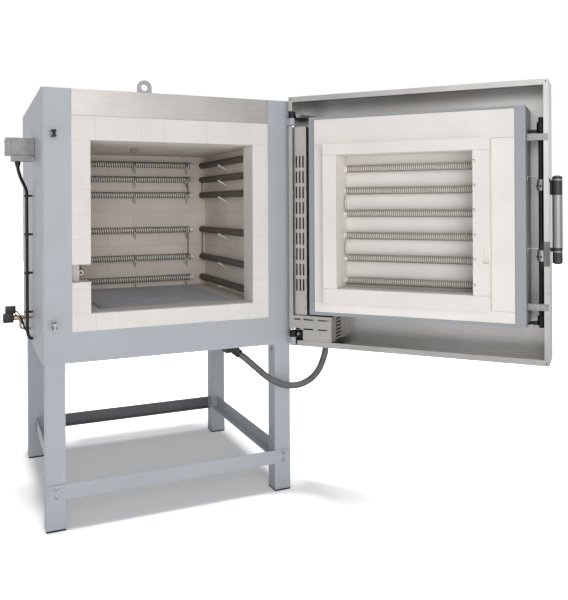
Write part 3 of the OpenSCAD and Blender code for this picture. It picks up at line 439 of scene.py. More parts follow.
def evenNormals(piece):
    # Keeps broad faces flat beside their rounded edges
    piece.data.set_sharp_from_angle(angle=math.radians(edges["shadeSharpAbove"]))
    even = piece.modifiers.new("evenNormals", "WEIGHTED_NORMAL")
    even.keep_sharp = True
    even.weight = edges["normalWeight"]


def roundEdges(bm, width, segments=2, above=edges["sharpAbove"]):
    sharp = [e for e in bm.edges if len(e.link_faces) == 2 and e.calc_face_angle(0) > math.radians(above)]
    bmesh.ops.bevel(bm, geom=sharp, offset=width, segments=segments, profile=0.5,
                    affect="EDGES", material=-1, clamp_overlap=True)


def merged(node):
    # A copy of a node's mesh with its doubles merged and its flat faces whole
    bm = bmesh.new()
    bm.from_mesh(cadNodes[node].data)
    bmesh.ops.remove_doubles(bm, verts=bm.verts, dist=edges["mergeWithin"])
    flat = math.radians(edges["flatWithin"])
    bmesh.ops.dissolve_limit(bm, angle_limit=flat, verts=bm.verts, edges=bm.edges)
    return bm


def pieceName(node):
    words = node.split("_")
    return words[0] + "".join(word.capitalize() for word in words[1:])


def softened(node, material, width):
    # The node's own shape with its edges rounded
    bm = merged(node)
    roundEdges(bm, width * mm)
    piece = makePiece(pieceName(node), bm, material, cadNodes[node]["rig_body"], [node])
    evenNormals(piece)


def corners(node):
    # Both corners of a node's box, in millimetres
    return [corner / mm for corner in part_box(node)]


def facing(point, direction, spin=0):
    # A place at a point whose own Z looks along a direction
    turn = Vector(direction).to_track_quat("Z", "Y").to_matrix().to_4x4()
    return Matrix.Translation(point) @ turn @ Matrix.Rotation(math.radians(spin), 4, "Z")


def doorFacing(s, n, z, direction, spin=0):
    # The same on the door, with place and direction in the door's own terms
    ds, dn, dz = direction
    return facing(onDoor(s, n, z), doorPlace.to_3x3() @ Vector((-ds, dn, dz)), spin)


def join(bm, made, place=None):
    # Adds a finished shape to a piece, at its place
    if place is not None:
        bmesh.ops.transform(made, matrix=place, verts=made.verts)
    keep = bpy.data.meshes.new("part")
    made.to_mesh(keep)
    made.free()
    bm.from_mesh(keep)
    bpy.data.meshes.remove(keep)


def addBlock(bm, low, high, place=None, width=0.0, segments=2):
    # A block between two corners in millimetres, its edges rounded
    made = bmesh.new()
    bmesh.ops.create_cube(made, size=1)
    size = [(b - a) * mm for a, b in zip(low, high)]
    middle = Vector([(a + b) / 2 * mm for a, b in zip(low, high)])
    bmesh.ops.scale(made, vec=size, verts=made.verts)
    bmesh.ops.translate(made, vec=middle, verts=made.verts)
    if width:
        roundEdges(made, width * mm, segments)
    join(bm, made, place)


def roundShape(radius, topRadius, low, high, sides):
    # A cylinder or cone along Z between two heights in millimetres
    made = bmesh.new()
    bmesh.ops.create_cone(made, cap_ends=True, segments=sides, radius1=radius * mm, radius2=topRadius * mm,
                          depth=(high - low) * mm)
    bmesh.ops.translate(made, vec=(0, 0, (low + high) / 2 * mm), verts=made.verts)
    return made


def addRound(bm, radius, low, high, place, width=0.0, sides=24, topRadius=None):
    # A round piece along the Z of its place, with rounded edges
    made = roundShape(radius, radius if topRadius is None else topRadius, low, high, sides)
    if width:
        roundEdges(made, width * mm, 2, edges["roundSharpAbove"])
    join(bm, made, place)


bolt = {"head": 5.6, "washer": 8, "washerHeight": 1.2, "washerEdge": 0.3, "headEdge": 0.5}


def addBolt(bm, place, height):
    # A hexagon head on its washer, with a domed top
    foot = bolt["washerHeight"]
    addRound(bm, bolt["washer"], 0, foot, place, bolt["washerEdge"])
    made = roundShape(bolt["head"], bolt["head"], foot, foot + height, 6)
    roundEdges(made, bolt["headEdge"] * mm)
    join(bm, made, place)


screw = {"taper": 0.8, "edge": 0.35, "recess": (0.5, 0.35), "recessDepth": (0.25, 0.05), "recessTurn": 20}


def addScrew(bm, place, head, height=1.8):
    # A pan head with a cross recess
    made = roundShape(head, head * screw["taper"], 0, height, 20)
    roundEdges(made, screw["edge"] * height * mm, 2, edges["roundSharpAbove"])
    join(bm, made, place)
    reach, half = head * screw["recess"][0], screw["recess"][1]
    sunk, proud = screw["recessDepth"]
    for turn in (0, 90):
        slotPlace = place @ Matrix.Rotation(math.radians(turn + screw["recessTurn"]), 4, "Z")
        addBlock(bm, (-reach, -half, height - sunk), (reach, half, height + proud), slotPlace)


def smoothRoute(points, step, finePerSpan=24):
    # A round curve through the points, cut into steps of one length, and how long it is
    fine = []
    for i in range(len(points) - 1):
        a, b = points[i], points[i + 1]
        before = points[i - 1] if i else a - (b - a)
        after = points[i + 2] if i + 2 < len(points) else b + (b - a)
        for k in range(finePerSpan):
            t = k / finePerSpan
            fine.append(0.5 * (2 * a + (b - before) * t + (2 * before - 5 * a + 4 * b - after) * t * t
                               + (3 * a - before - 3 * b + after) * t ** 3))
    fine.append(points[-1])
    run = [0.0]
    for a, b in zip(fine, fine[1:]):
        run.append(run[-1] + (b - a).length)
    count = max(2, round(run[-1] / step))
    even = []
    k = 0
    for i in range(count + 1):
        want = run[-1] * i / count
        while k < len(run) - 2 and run[k + 1] < want:
            k += 1
        share = (want - run[k]) / max(run[k + 1] - run[k], 1e-9)
        even.append(fine[k].lerp(fine[k + 1], min(1, share)))
    return even, run[-1]


def tubeAlong(name, line, radius, material, ribs=(1.0,), sides=6):
    # A hose or cable: a curve with thickness, turned into a mesh
    data = bpy.data.curves.new(name + "Line", "CURVE")
    data.dimensions = "3D"
    data.bevel_depth = radius
    data.bevel_resolution = sides
    data.use_fill_caps = True
    spline = data.splines.new("POLY")
    spline.points.add(len(line) - 1)
    for i, (point, place) in enumerate(zip(spline.points, line)):
        point.co = (*place, 1)
        point.radius = ribs[i % len(ribs)]
    shape = bpy.data.objects.new(name + "Line", data)
    scene.collection.objects.link(shape)
    bpy.context.view_layer.update()
    mesh = bpy.data.meshes.new_from_object(shape.evaluated_get(bpy.context.evaluated_depsgraph_get()))
    bpy.data.objects.remove(shape)
    mesh.name = name
    piece = bpy.data.objects.new(name, mesh)
    scene.collection.objects.link(piece)
    mesh.materials.clear()
    mesh.materials.append(material)
    for face in mesh.polygons:
        face.use_smooth = True
    return piece


frontY = -0.420
conduit = {
    "diameter": 25 * mm,
    "route": [(256, 27, 534), (272, 21, 521), (287, 16, 507), (304, 9, 491), (323, 2, 473), (343, -5, 454),
              (366, -14, 437), (390, -23, 424), (415, -32, 415), (441, -42, 412), (467, -52, 415),
              (490, -60, 424), (511, -68, 438), (528, -75, 457), (542, -81, 481), (552, -85, 508),
              (559, -87, 530), (562, -88, 549), (562, -88, 564.6)],
    "ribPitch": 1.6 * mm,
    "ribs": (1.0, 1.0, 0.955, 0.955),
}


def makeConduit():
    # Ribbed hose that hangs from the gland under the case to the door's terminal box
    points = [Vector((x * mm, frontY + y * mm, z * mm)) for x, y, z in conduit["route"]]
    line, length = smoothRoute(points, conduit["ribPitch"])
    piece = tubeAlong("doorConduit", line, conduit["diameter"] / 2, finishes["conduit"], conduit["ribs"])
    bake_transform(piece)
    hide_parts("door_conduit")
    print("conduit", round(length, 3), "m")


makeConduit()

caseCorner = Vector((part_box("left_panel")[0].x, frontY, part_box("floor_panel")[0].z))
sideCable = {
    "radius": 6 * mm,
    "step": 5 * mm,
    "route": [(-57, 300, 702.7), (-57, 300, 690), (-55, 306, 674), (-50, 318, 657), (-42, 338, 638),
              (-32, 362, 620), (-24, 379, 605), (-20, 385, 588), (-20, 385, 560), (-20, 385, 530),
              (-20, 385, 490), (-20, 385, 370), (-20, 385, 250), (-20, 385, 130), (-20, 385, 90),
              (-20, 385, 60), (-18, 385, 44), (-13, 385, 33), (-6, 385, 27), (-0.3, 385, 27)],
}


def makeSideCable():
    # Cable from the junction box down through its clips into the case
    points = [caseCorner + Vector(point) * mm for point in sideCable["route"]]
    line, length = smoothRoute(points, sideCable["step"])
    piece = tubeAlong("sideCable", line, sideCable["radius"], finishes["cable"])
    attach(piece, "case")
    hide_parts("side_cable")
    print("side cable", round(length, 3), "m")


makeSideCable()

winding = {
    "wire": 2.0,
    "outer": 14.6,
    "pitch": {"wall": 10.0, "door": 7.3},
    "stepsPerTurn": 12,
    "wireSides": 6,
    "rowGap": 8,                              # two heights farther apart than this are two rows
}


def woundWire(length, pitch):
    # One heating wire wound round its tube, along its own Z from 0 to length in millimetres
    bm = bmesh.new()
    bmesh.ops.create_circle(bm, segments=winding["wireSides"], radius=winding["wire"] * mm)
    bmesh.ops.rotate(bm, verts=bm.verts, matrix=Matrix.Rotation(math.radians(90), 3, "X"))
    reach = winding["outer"] - winding["wire"]
    bmesh.ops.translate(bm, vec=(reach * mm, 0, winding["wire"] * mm), verts=bm.verts)
    turns = (length - 2 * winding["wire"]) / pitch
    steps = round(turns * winding["stepsPerTurn"])
    rise = (length - 2 * winding["wire"]) / steps * mm
    bmesh.ops.spin(bm, geom=list(bm.verts) + list(bm.edges), axis=(0, 0, 1), dvec=(0, 0, rise),
                   angle=math.radians(360 * turns), steps=steps)
    bmesh.ops.holes_fill(bm, edges=[e for e in bm.edges if e.is_boundary], sides=0)
    bmesh.ops.recalc_face_normals(bm, faces=bm.faces)
    mesh = bpy.data.meshes.new("windingShape")
    bm.to_mesh(mesh)
    bm.free()
    return mesh


def rowHeights(node):
    # Heights of the rows in a node of windings, from its separate solids
    bm = bmesh.new()
    bm.from_mesh(cadNodes[node].data)
    heights = sorted({round(v.co.z / mm) for v in bm.verts})
    bm.free()
    rows = []
    for height in heights:
        if not rows or height - rows[-1][-1] > winding["rowGap"]:
            rows.append([height])
        rows[-1].append(height)
    return [(row[0] + row[-1]) / 2 for row in rows]


def makeWindings(node, material, pitch, start, along, length):
    # Every row of one wall: start is the place of a row's end, without its height
    shape = woundWire(length, pitch)
    bm = bmesh.new()
    for height in rowHeights(node):
        before = len(bm.verts)
        bm.from_mesh(shape)
        bm.verts.ensure_lookup_table()
        place = facing(Vector((start[0], start[1], height * mm)), along, random.uniform(0, 360))
        bmesh.ops.transform(bm, matrix=place, verts=bm.verts[before:])
    bpy.data.meshes.remove(shape)
    makePiece(pieceName(node), bm, material, cadNodes[node]["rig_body"], [node])


doorRecess = {"from": 221, "to": 704, "rowBack": -20, "endGap": 8}


def windWalls():
    for node in ("left_coils", "right_coils"):
        low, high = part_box(node)
        makeWindings(node, finishes["wire"], winding["pitch"]["wall"],
                     ((low.x + high.x) / 2, low.y), (0, 1, 0), (high.y - low.y) / mm)
    low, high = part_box("rear_coils")
    makeWindings("rear_coils", finishes["wire"], winding["pitch"]["wall"],
                 (low.x, (low.y + high.y) / 2), (1, 0, 0), (high.x - low.x) / mm)
    # The door's rows run from the free side of its recess towards the hinge
    start = onDoor(doorRecess["to"] - doorRecess["endGap"], doorRecess["rowBack"], 0)
    along = onDoor(doorRecess["from"] + doorRecess["endGap"], doorRecess["rowBack"], 0) - start
    makeWindings("door_coils", finishes["doorWire"], winding["pitch"]["door"],
                 start, along.normalized(), along.length / mm)


windWalls()
print("windings wound")

# Everything that keeps its own shape: node, finish, radius of its edges in millimetres, slot
dressed = [
    ("front_left_leg", "standPaint", 3, "stand_paint"),
    ("front_right_leg", "standPaint", 3, "stand_paint"),
    ("rear_left_leg", "standPaint", 3, "stand_paint"),
    ("rear_right_leg", "standPaint", 3, "stand_paint"),
    ("foot_plates", "blackSteel", 0.6, "zinc_steel"),
    ("front_rail", "standPaint", 1.2, "stand_paint"),
    # the rear rail takes the darkened stand paint: painted shade
    ("rear_rail", "railSteel", 1.2, "stand_paint"),
    ("left_rail", "standPaint", 1.2, "stand_paint"),
    ("right_rail", "standPaint", 1.2, "stand_paint"),
    # the side and floor panels take the darker copy of the case paint: painted shade
    ("floor_panel", "shadedCasePaint", 0.8, "case_paint"),
    ("left_panel", "shadedCasePaint", 0.8, "case_paint"),
    ("right_panel", "shadedCasePaint", 0.8, "case_paint"),
    ("rear_panel", "casePaint", 0.8, "case_paint"),
    ("roof_panel", "casePaint", 0.8, "case_paint"),
    ("front_frame", "casePaint", 0.8, "case_paint"),
    ("rear_cover", "casePaint", 1.0, "case_paint"),
    ("header_panel", "header", 0.6, "stainless"),
    ("collar_bricks", "collarBrick", 0.7, "firebrick"),
    ("hearth_plate", "hearth", 1.2, "silicon_carbide"),
    ("lifting_lugs", "lug", 1.5, "zinc_steel"),
    ("lock_catches", "casePaint", 0.8, "black_steel"),
    ("hinge_lugs", "casePaint", 1.2, "case_paint"),
    ("cable_clips", "blackPlastic", 1.2, "black_plastic"),
    ("conduit_gland", "blackPlastic", 1.5, "black_plastic"),
    ("door_shell", "doorSheet", 0.5, "stainless"),
    ("door_frame", "framePaint", 0.8, "frame_paint"),
    ("door_bricks", "doorBrick", 1.3, "firebrick"),
    ("hinge_arms", "zinc", 1.0, "zinc_steel"),
    ("slotted_cover", "coverSheet", 0.4, "stainless"),
    ("terminal_box", "boxSheet", 0.4, "stainless"),
    ("lock_bearings", "lug", 0.8, "stainless"),
    ("lock_claws", "blackSteel", 1.0, "black_steel"),
    ("handle_arms", "lug", 0.8, "zinc_steel"),
    ("handle_caps", "capPlastic", 1.6, "black_plastic"),
    ("handle_tube", "grip", 0.5, "grip_aluminium"),
]
plain = {
    # the side linings take the lighter copy of the firebrick: painted light
    "left_lining": "litSideBrick", "right_lining": "litSideBrick", "rear_lining": "rearBrick",
    "roof_lining": "roofBrick", "floor_lining": "floorBrick", "door_lining": "plugBack",
    "floor_coils": "wire", "coil_links": "wire", "coil_tubes": "ceramic", "support_pins": "ceramic",
    "door_tubes": "ceramic", "thermocouple": "ceramic",
    "hinge_pins": "blackSteel", "lock_shaft": "blackSteel",
}


def dressNodes():
    for node, finish, width, slot in dressed:
        softened(node, finishes[finish], width)
    for node, finish in plain.items():
        mesh = cadNodes[node].data
        mesh.materials.clear()
        mesh.materials.append(finishes[finish])


dressNodes()
print("case, stand and door dressed")


def doorBlock(bm, s, n, z, width=0.0):
    # A block on the door, its three pairs of limits in the door's own directions
    pin = door["pinInset"] / mm
    addBlock(bm, (pin - s[1], n[0], z[0]), (pin - s[0], n[1], z[1]), doorPlace, width)


doorFoot, doorTop = [corner.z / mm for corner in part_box("door_shell")]
innerSide = (0, 1, 0)
lock = {"bearings": (doorFoot + 194, doorFoot + 758), "frameEdge": 868, "shaft": (911.5, -28)}
doorScrews = {
    "bearingHead": 3.6,
    "bearingAt": ((lock["frameEdge"] + 12, 3), (929, 0)),
    "sheetHead": 3.2,
    "sheetAt": ((14, -12, doorFoot + 140), (14, -12, doorTop - 130), (60, -12, doorFoot + 140),
                (60, -12, doorTop - 130), (107, 0, doorFoot + 88), (164, 0, doorFoot + 106),
                (164, 0, doorFoot + 27), (66, 0, doorFoot + 106)),
}


def makeDoorScrews():
    # Screws of the shaft's bearings, the slotted cover and the terminal box
    bm = bmesh.new()
    for z in lock["bearings"]:
        for s, n in doorScrews["bearingAt"]:
            addScrew(bm, doorFacing(s, n, z, innerSide, s), doorScrews["bearingHead"])
    for s, n, z in doorScrews["sheetAt"]:
        addScrew(bm, doorFacing(s, n, z, innerSide, z), doorScrews["sheetHead"])
    makePiece("doorScrews", bm, finishes["zinc"], "door")


rimMarks = {
    "depth": (-0.1, 0.06),
    "seams": (doorFoot + 159, doorFoot + 241),
    "seamAcross": (922, 937),
    "seamHeight": 0.7,
    "holes": ((929, doorTop - 9), (9, doorTop - 9), (929, doorFoot + 9)),
    "holeRadius": 2.4,
}


def makeRimMarks():
    # Butt seams of the folded rim, and the small holes at its corners as dark discs: painted shade in place
    # of holes
    bm = bmesh.new()
    for z in rimMarks["seams"]:
        doorBlock(bm, rimMarks["seamAcross"], rimMarks["depth"], (z, z + rimMarks["seamHeight"]))
    for s, z in rimMarks["holes"]:
        addRound(bm, rimMarks["holeRadius"], *rimMarks["depth"], doorFacing(s, 0, z, innerSide), 0, 20)
    makePiece("rimMarks", bm, finishes["gap"], "door")


guides = {
    "heights": (doorFoot + 386, doorFoot + 627),
    "shortOfShaft": 8.4,
    "depth": (-9, 11),
    "thickness": 3.5,
    "footWidth": 3,
    "footDrop": 14,
    "edge": 0.6,
}


def makeShaftGuides():
    # Thin plates that steady the shaft beside the handle's arms
    bm = bmesh.new()
    s, n = lock["shaft"]
    near = lock["frameEdge"]
    depth = [n + reach for reach in guides["depth"]]
    for z in guides["heights"]:
        top = z + guides["thickness"]
        foot = z - guides["footDrop"]
        doorBlock(bm, (near, s - guides["shortOfShaft"]), depth, (z, top), guides["edge"])
        doorBlock(bm, (near, near + guides["footWidth"]), depth, (foot, top), guides["edge"])
    makePiece("shaftGuides", bm, finishes["zinc"], "door")


hubBolts = {
    "heights": (doorFoot + 360, doorFoot + 596),
    "sides": ((-1, 0, 0), (0, 1, 0)),
    "fromShaft": 13,
    "radius": 3.4,
    "ends": (-1, 3.2),
    "edge": 0.5,
}


def makeHubBolts():
    # Hexagon heads that clamp the handle's arms to the shaft
    bm = bmesh.new()
    s, n = lock["shaft"]
    out = hubBolts["fromShaft"]
    for z in hubBolts["heights"]:
        for side in hubBolts["sides"]:
            place = doorFacing(s + out * side[0], n + out * side[1], z, side)
            addRound(bm, hubBolts["radius"], *hubBolts["ends"], place, hubBolts["edge"], 6)
    makePiece("hubBolts", bm, finishes["blackSteel"], "lock")


standBolts = {"rise": 14, "railHead": 3.6, "railTurn": 17, "clampHead": 3.4, "clampTurn": 11, "clampDrop": 24}


def makeStandBolts():
    # Hexagon bolts that hold the cross rails and clamp the case to the legs
    bm = bmesh.new()
    legLow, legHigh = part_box("front_right_leg")
    across, along = (legLow.x + legHigh.x) / 2, -(legLow.y + legHigh.y) / 2
    railLow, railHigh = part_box("front_rail")
    middle = (railLow.z + railHigh.z) / 2
    for sx in (-1, 1):
        for sy in (-1, 1):
            for rise in (-standBolts["rise"], standBolts["rise"]):
                at = Vector((sx * across, sy * -railLow.y, middle + rise * mm))
                spin = standBolts["railTurn"] * sx + rise
                addBolt(bm, facing(at, (0, sy, 0), spin), standBolts["railHead"])
            clamp = Vector((sx * legLow.x, sy * along, legHigh.z - standBolts["clampDrop"] * mm))
            addBolt(bm, facing(clamp, (-sx, 0, 0), standBolts["clampTurn"]), standBolts["clampHead"])
    makePiece("standBolts", bm, finishes["zinc"], "case", ["stand_bolts"])


leftwards = (-1, 0, 0)
sideBox = {
    "lid": 20,
    "edge": 3,
    "seam": {"width": 1.4, "inset": 2, "lap": 1, "edge": 0.5},
    "neck": {"height": 22, "fromLid": 20, "fromCase": 8, "inset": 12, "lap": 1, "edge": 2.5},
    "corner": {"inset": 9, "radius": 5.5, "ends": (-1, 1.2), "edge": 0.4},
    "field": {"fromSeam": 8, "fromCase": 12, "fromFoot": 10, "fromTop": 12, "proud": 0.8, "lap": 1,
              "edge": 0.6},
    "screw": {"head": 3.2, "height": 1.4, "proud": 0.2},
    "gland": {"nut": (11.5, -9, 1), "sleeve": (7.5, -19, -9), "sleeveTop": 9.5, "edge": 0.8},
}


def makeJunctionBox():
    # Moulded box with a screwed lid on its outer end, and a neck for the cable under it
    low, high = corners("junction_box")
    seam, neck, corner, field = [sideBox[part] for part in ("seam", "neck", "corner", "field")]
    bottom = low.z + neck["height"]
    joint = low.x + sideBox["lid"]
    lidBack = joint - seam["width"]
    edge = sideBox["edge"]
    bm = bmesh.new()
    addBlock(bm, (low.x, low.y, bottom), (lidBack, high.y, high.z), None, edge, 3)
    addBlock(bm, (lidBack - seam["lap"], low.y + seam["inset"], bottom + seam["inset"]),
             (joint + seam["lap"], high.y - seam["inset"], high.z - seam["inset"]), None, seam["edge"])
    addBlock(bm, (joint, low.y, bottom), (high.x, high.y, high.z), None, edge, 3)
    addBlock(bm, (low.x + neck["fromLid"], low.y + neck["inset"], low.z),
             (high.x - neck["fromCase"], high.y - neck["inset"], bottom + neck["lap"]), None, neck["edge"], 3)
    spots = [(y, z) for y in (low.y + corner["inset"], high.y - corner["inset"])
             for z in (bottom + corner["inset"], high.z - corner["inset"])]
    for y, z in spots:
        place = facing(Vector((low.x, y, z)) * mm, leftwards)
        addRound(bm, corner["radius"], *corner["ends"], place, corner["edge"], 20)
    # a raised field on the front, left bare
    addBlock(bm, (joint + field["fromSeam"], low.y - field["proud"], bottom + field["fromFoot"]),
             (high.x - field["fromCase"], low.y + field["lap"], high.z - field["fromTop"]), None,
             field["edge"])
    makePiece("junctionBox", bm, finishes["boxPlastic"], "case", ["junction_box"])
    head = sideBox["screw"]
    screws = bmesh.new()
    for y, z in spots:
        place = facing(Vector((low.x - head["proud"], y, z)) * mm, leftwards, y)
        addScrew(screws, place, head["head"], head["height"])
    makePiece("junctionScrews", screws, finishes["zinc"], "case")


def makeCableGland():
    # A nut and a tapered sleeve where the cable leaves the box
    gland = sideBox["gland"]
    place = Matrix.Translation(caseCorner + Vector(sideCable["route"][0]) * mm)
    bm = bmesh.new()
    addRound(bm, *gland["nut"], place, gland["edge"], 6)
    addRound(bm, *gland["sleeve"], place, gland["edge"], 24, gland["sleeveTop"])
    makePiece("cableGland", bm, finishes["blackPlastic"], "case")


valve = {
    "aboveCoilFoot": 17,
    # radius, then both ends: from the case, from each place in hexAt, and up from the elbow
    "neck": (6, 0, 26),
    "body": (9.4, 26, 67),
    "flange": (9.5, 0, 3),
    "hex": (10.1, -4, 4),
    "hexAt": (-29, -44, -60),
    "hexTurn": 15,
    "elbowNut": (7.5, 30, 36),
    "elbow": (-42, 0, -44),
    "pipe": [(0, 0, 40), (0, 0, 14), (1.5, 0, 5), (6, 0, 1), (14, 0, 0), (41.5, 0, 0)],
    "pipeRadius": 4.6,
}


def valveAxis():
    # Where the axis of the valve meets the side of the case, in millimetres
    low, high = corners("purge_valve")
    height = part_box("valve_coil")[0].z / mm + valve["aboveCoilFoot"]
    return Vector((high.x, (low.y + high.y) / 2, height))


def makeValve():
    # Small solenoid valve: brass body with hexagon fittings and a bent pipe
    base = valveAxis()
    axis = facing(base * mm, leftwards)
    bm = bmesh.new()
    addRound(bm, *valve["neck"], axis, 0.5)
    addRound(bm, *valve["body"], axis, 1.2)
    for x in valve["hexAt"]:
        place = facing((base + Vector((x, 0, 0))) * mm, leftwards, valve["hexTurn"])
        addRound(bm, *valve["hex"], place, 0.8, 6)
    addRound(bm, *valve["flange"], axis, 0.5)
    elbow = base + Vector(valve["elbow"])
    addRound(bm, *valve["elbowNut"], Matrix.Translation(elbow * mm), 0.6, 6)
    makePiece("purgeValve", bm, finishes["brass"], "case", ["purge_valve"])
    line = smoothRoute([(elbow + Vector(point)) * mm for point in valve["pipe"]], 3 * mm)[0]
    pipe = tubeAlong("bypassPipe", line, valve["pipeRadius"] * mm, finishes["brass"])
    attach(pipe, "case")


coil = {
    "length": 38,
    "shoulder": 18,                           # the coil ends and its plug begins this far above the axis
    "seam": 0.4,
    "edge": 3.5,
    "plug": {"from": 8, "inset": 4, "lap": 1, "edge": 3},
    "plugNut": {"at": (-10, 5, -12), "shape": (6.5, 0, 9), "edge": 0.8},
    "endNut": {"in": 1, "shape": (8, -2, 1), "edge": 0.6},
    "wire": 2.4,
    "wires": [
        [(-14, -16, 30), (-8, -24, 32), (4, -30, 26), (16, -36, 10), (24, -46, -10), (30, -53, -34),
         (40, -54, -52)],
        [(-4, -6, 14), (8, -14, 8), (18, -28, -4), (24, -40, -24), (34, -48, -46), (44, -52, -58)],
    ],
}


def makeValveCoil():
    # The coil with its plug, its nuts and two thin wires that run into the case
    low, high = corners("valve_coil")
    base = valveAxis()
    plug, plugNut, endNut = coil["plug"], coil["plugNut"], coil["endNut"]
    shoulder = base.z + coil["shoulder"]
    bm = bmesh.new()
    addBlock(bm, low, (low.x + coil["length"], high.y, shoulder - coil["seam"]), None, coil["edge"], 3)
    addBlock(bm, (low.x + plug["from"], low.y + plug["inset"], shoulder - plug["lap"]),
             (high.x, high.y - plug["inset"], high.z), None, plug["edge"], 3)
    side = Vector((high.x, low.y, high.z)) + Vector(plugNut["at"])
    addRound(bm, *plugNut["shape"], facing(side * mm, (0, -1, 0)), plugNut["edge"], 6)
    end = Vector((low.x + endNut["in"], base.y, base.z))
    addRound(bm, *endNut["shape"], facing(end * mm, leftwards), endNut["edge"])
    makePiece("valveCoil", bm, finishes["blackPlastic"], "case", ["valve_coil"])
    start = Vector((high.x, base.y, base.z))
    for i, wire in enumerate(coil["wires"]):
        line = smoothRoute([(start + Vector(point)) * mm for point in wire], 4 * mm)[0]
        loose = tubeAlong("valveWire" + str(i + 1), line, coil["wire"] * mm, finishes["cable"], sides=3)
        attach(loose, "case")


hooks = {"wire": 1.3, "drop": 42, "top": 12, "back": 16, "across": (-240, 0, 240), "before": 1.6, "edge": 0.3}


def makeWallHooks():
    # Bent wires that hang over the pins in front of the rear rows
    bm = bmesh.new()
    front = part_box("rear_coils")[0].y / mm - hooks["before"]
    bend = facing(Vector((0, 0, hooks["top"])) * mm, (0, 1, 0))
    for height in rowHeights("rear_coils"):
        for x in hooks["across"]:
            place = Matrix.Translation(Vector((x, front, height)) * mm)
            addRound(bm, hooks["wire"], -hooks["drop"], hooks["top"], place, hooks["edge"], 8)
            addRound(bm, hooks["wire"], 0, hooks["back"], place @ bend, hooks["edge"], 8)
    makePiece("wallHooks", bm, finishes["wire"], "case")


doorLinks = {
    "pairs": ((1, 2), (3, 4)),
    "fromEnd": 3,
    "wire": 2,
    # s, n and height, from the rows' end and from the upper row, the middle and the lower row
    "upper": ((2, 13, -3), (-2, 18, -12)),
    "middle": ((-5, 19, 10), (-6, 19, -8)),
    "lower": ((-4, 18, 12), (2, 13, 3)),
}


def makeDoorLinks():
    # Short wires that join the door's rows in pairs at the hinge side
    rows = rowHeights("door_coils")
    s = doorRecess["from"] + doorRecess["endGap"] + doorLinks["fromEnd"]
    n = doorRecess["rowBack"]
    for i, (first, second) in enumerate(doorLinks["pairs"]):
        heights = {"upper": rows[second], "middle": (rows[first] + rows[second]) / 2, "lower": rows[first]}
        points = [onDoor(s + ds, n + dn, height + dz)
                  for part, height in heights.items() for ds, dn, dz in doorLinks[part]]
        line = smoothRoute(points, 4 * mm)[0]
        link = tubeAlong("doorLink" + str(i + 1), line, doorLinks["wire"] * mm, finishes["doorWire"], sides=4)
        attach(link, "door")


staples = {
    "depth": (76, 78.6),
    "bar": {"across": (-1, 9), "up": (14, 16.4)},
    "leg": {"across": (7, 9.4), "up": (7, 16.4)},
    "edge": 0.6,
}


def makeDoorStaples():
    # Staples in the plug's face at the free side of each row
    bm = bmesh.new()
    for z in rowHeights("door_coils"):
        for part in ("bar", "leg"):
            across = [doorRecess["to"] + s for s in staples[part]["across"]]
            doorBlock(bm, across, staples["depth"], [z + up for up in staples[part]["up"]], staples["edge"])
    makePiece("doorStaples", bm, finishes["doorWire"], "door")


caseScrews = {
    "coverShares": (0.04, 0.35, 0.65, 0.96),
    "coverIn": 14,
    "coverHead": 4,
    "panelAt": (-380, 112),                   # y, and height above the panel's foot
    "panelHead": 5,
    "panelTurn": 12,
}


def makeCaseScrews():
    # Screws in the sides of the rear cover and one in the left panel
    bm = bmesh.new()
    low, high = corners("rear_cover")
    for share in caseScrews["coverShares"]:
        z = low.z + (high.z - low.z) * share
        for x, side in ((low.x, -1), (high.x, 1)):
            place = facing(Vector((x, low.y + caseScrews["coverIn"], z)) * mm, (side, 0, 0), z)
            addScrew(bm, place, caseScrews["coverHead"])
    panel = corners("left_panel")[0]
    y, up = caseScrews["panelAt"]
    place = facing(Vector((panel.x, y, panel.z + up)) * mm, leftwards, caseScrews["panelTurn"])
    addScrew(bm, place, caseScrews["panelHead"])
    makePiece("caseScrews", bm, finishes["zinc"], "case")


collar = {
    "mouthX": 300,
    "mouthZ": (731.3, 1330),
    "notchZ": (838, 902),
    "sunk": 1,                                # the mortar stands this far behind the bricks' face
    "backIn": 2,
    "inset": 1,
}


def makeMortar():
    # Pale mortar just behind the face, seen in the joints between the collar's bricks
    low, high = corners("collar_bricks")
    edge, notch, inset = collar["mouthX"], collar["notchZ"], collar["inset"]
    below = collar["mouthZ"][0] - collar["sunk"] - inset
    above = collar["mouthZ"][1] + collar["sunk"] + inset
    near, far = low.y + collar["sunk"], high.y - collar["backIn"]
    bm = bmesh.new()
    for x0, x1, z0, z1 in (
            (low.x, high.x, low.z, below),
            (low.x, high.x, above, high.z),
            (edge + inset, high.x, below, above),
            (low.x, -edge - inset, below, notch[0]),
            (low.x, -edge - inset, notch[1], above)):
        addBlock(bm, (x0 + inset, near, z0 + inset), (x1 - inset, far, z1 - inset))
    makePiece("mortar", bm, finishes["mortar"], "case")


vent = {"at": (-85 * mm, -111 * mm), "radius": 13, "ends": (-16, 2), "edge": 2.5}


def makeVentSleeve():
    # The end of the exhaust's ceramic sleeve below the roof
    bm = bmesh.new()
    place = Matrix.Translation((*vent["at"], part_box("roof_lining")[0].z))
    addRound(bm, vent["radius"], *vent["ends"], place, vent["edge"], 28)
    makePiece("ventSleeve", bm, finishes["sleeve"], "case")


catches = {"plate": 4.6}                      # thickness of the painted plates behind the ears


def colourCatches():
    # The catches' ears: dark steel above, bright zinc below, both on painted plates
    low, high = corners("lock_catches")
    piece = bpy.data.objects[pieceName("lock_catches")]
    piece.data.materials.append(finishes["blackSteel"])
    piece.data.materials.append(finishes["zinc"])
    middle = (low.z + high.z) / 2
    for face in piece.data.polygons:
        if face.center.y / mm < high.y - catches["plate"]:
            face.material_index = 1 if face.center.z / mm > middle else 2


hinges = {"hub": 16}                          # the black part reaches this far from the pin


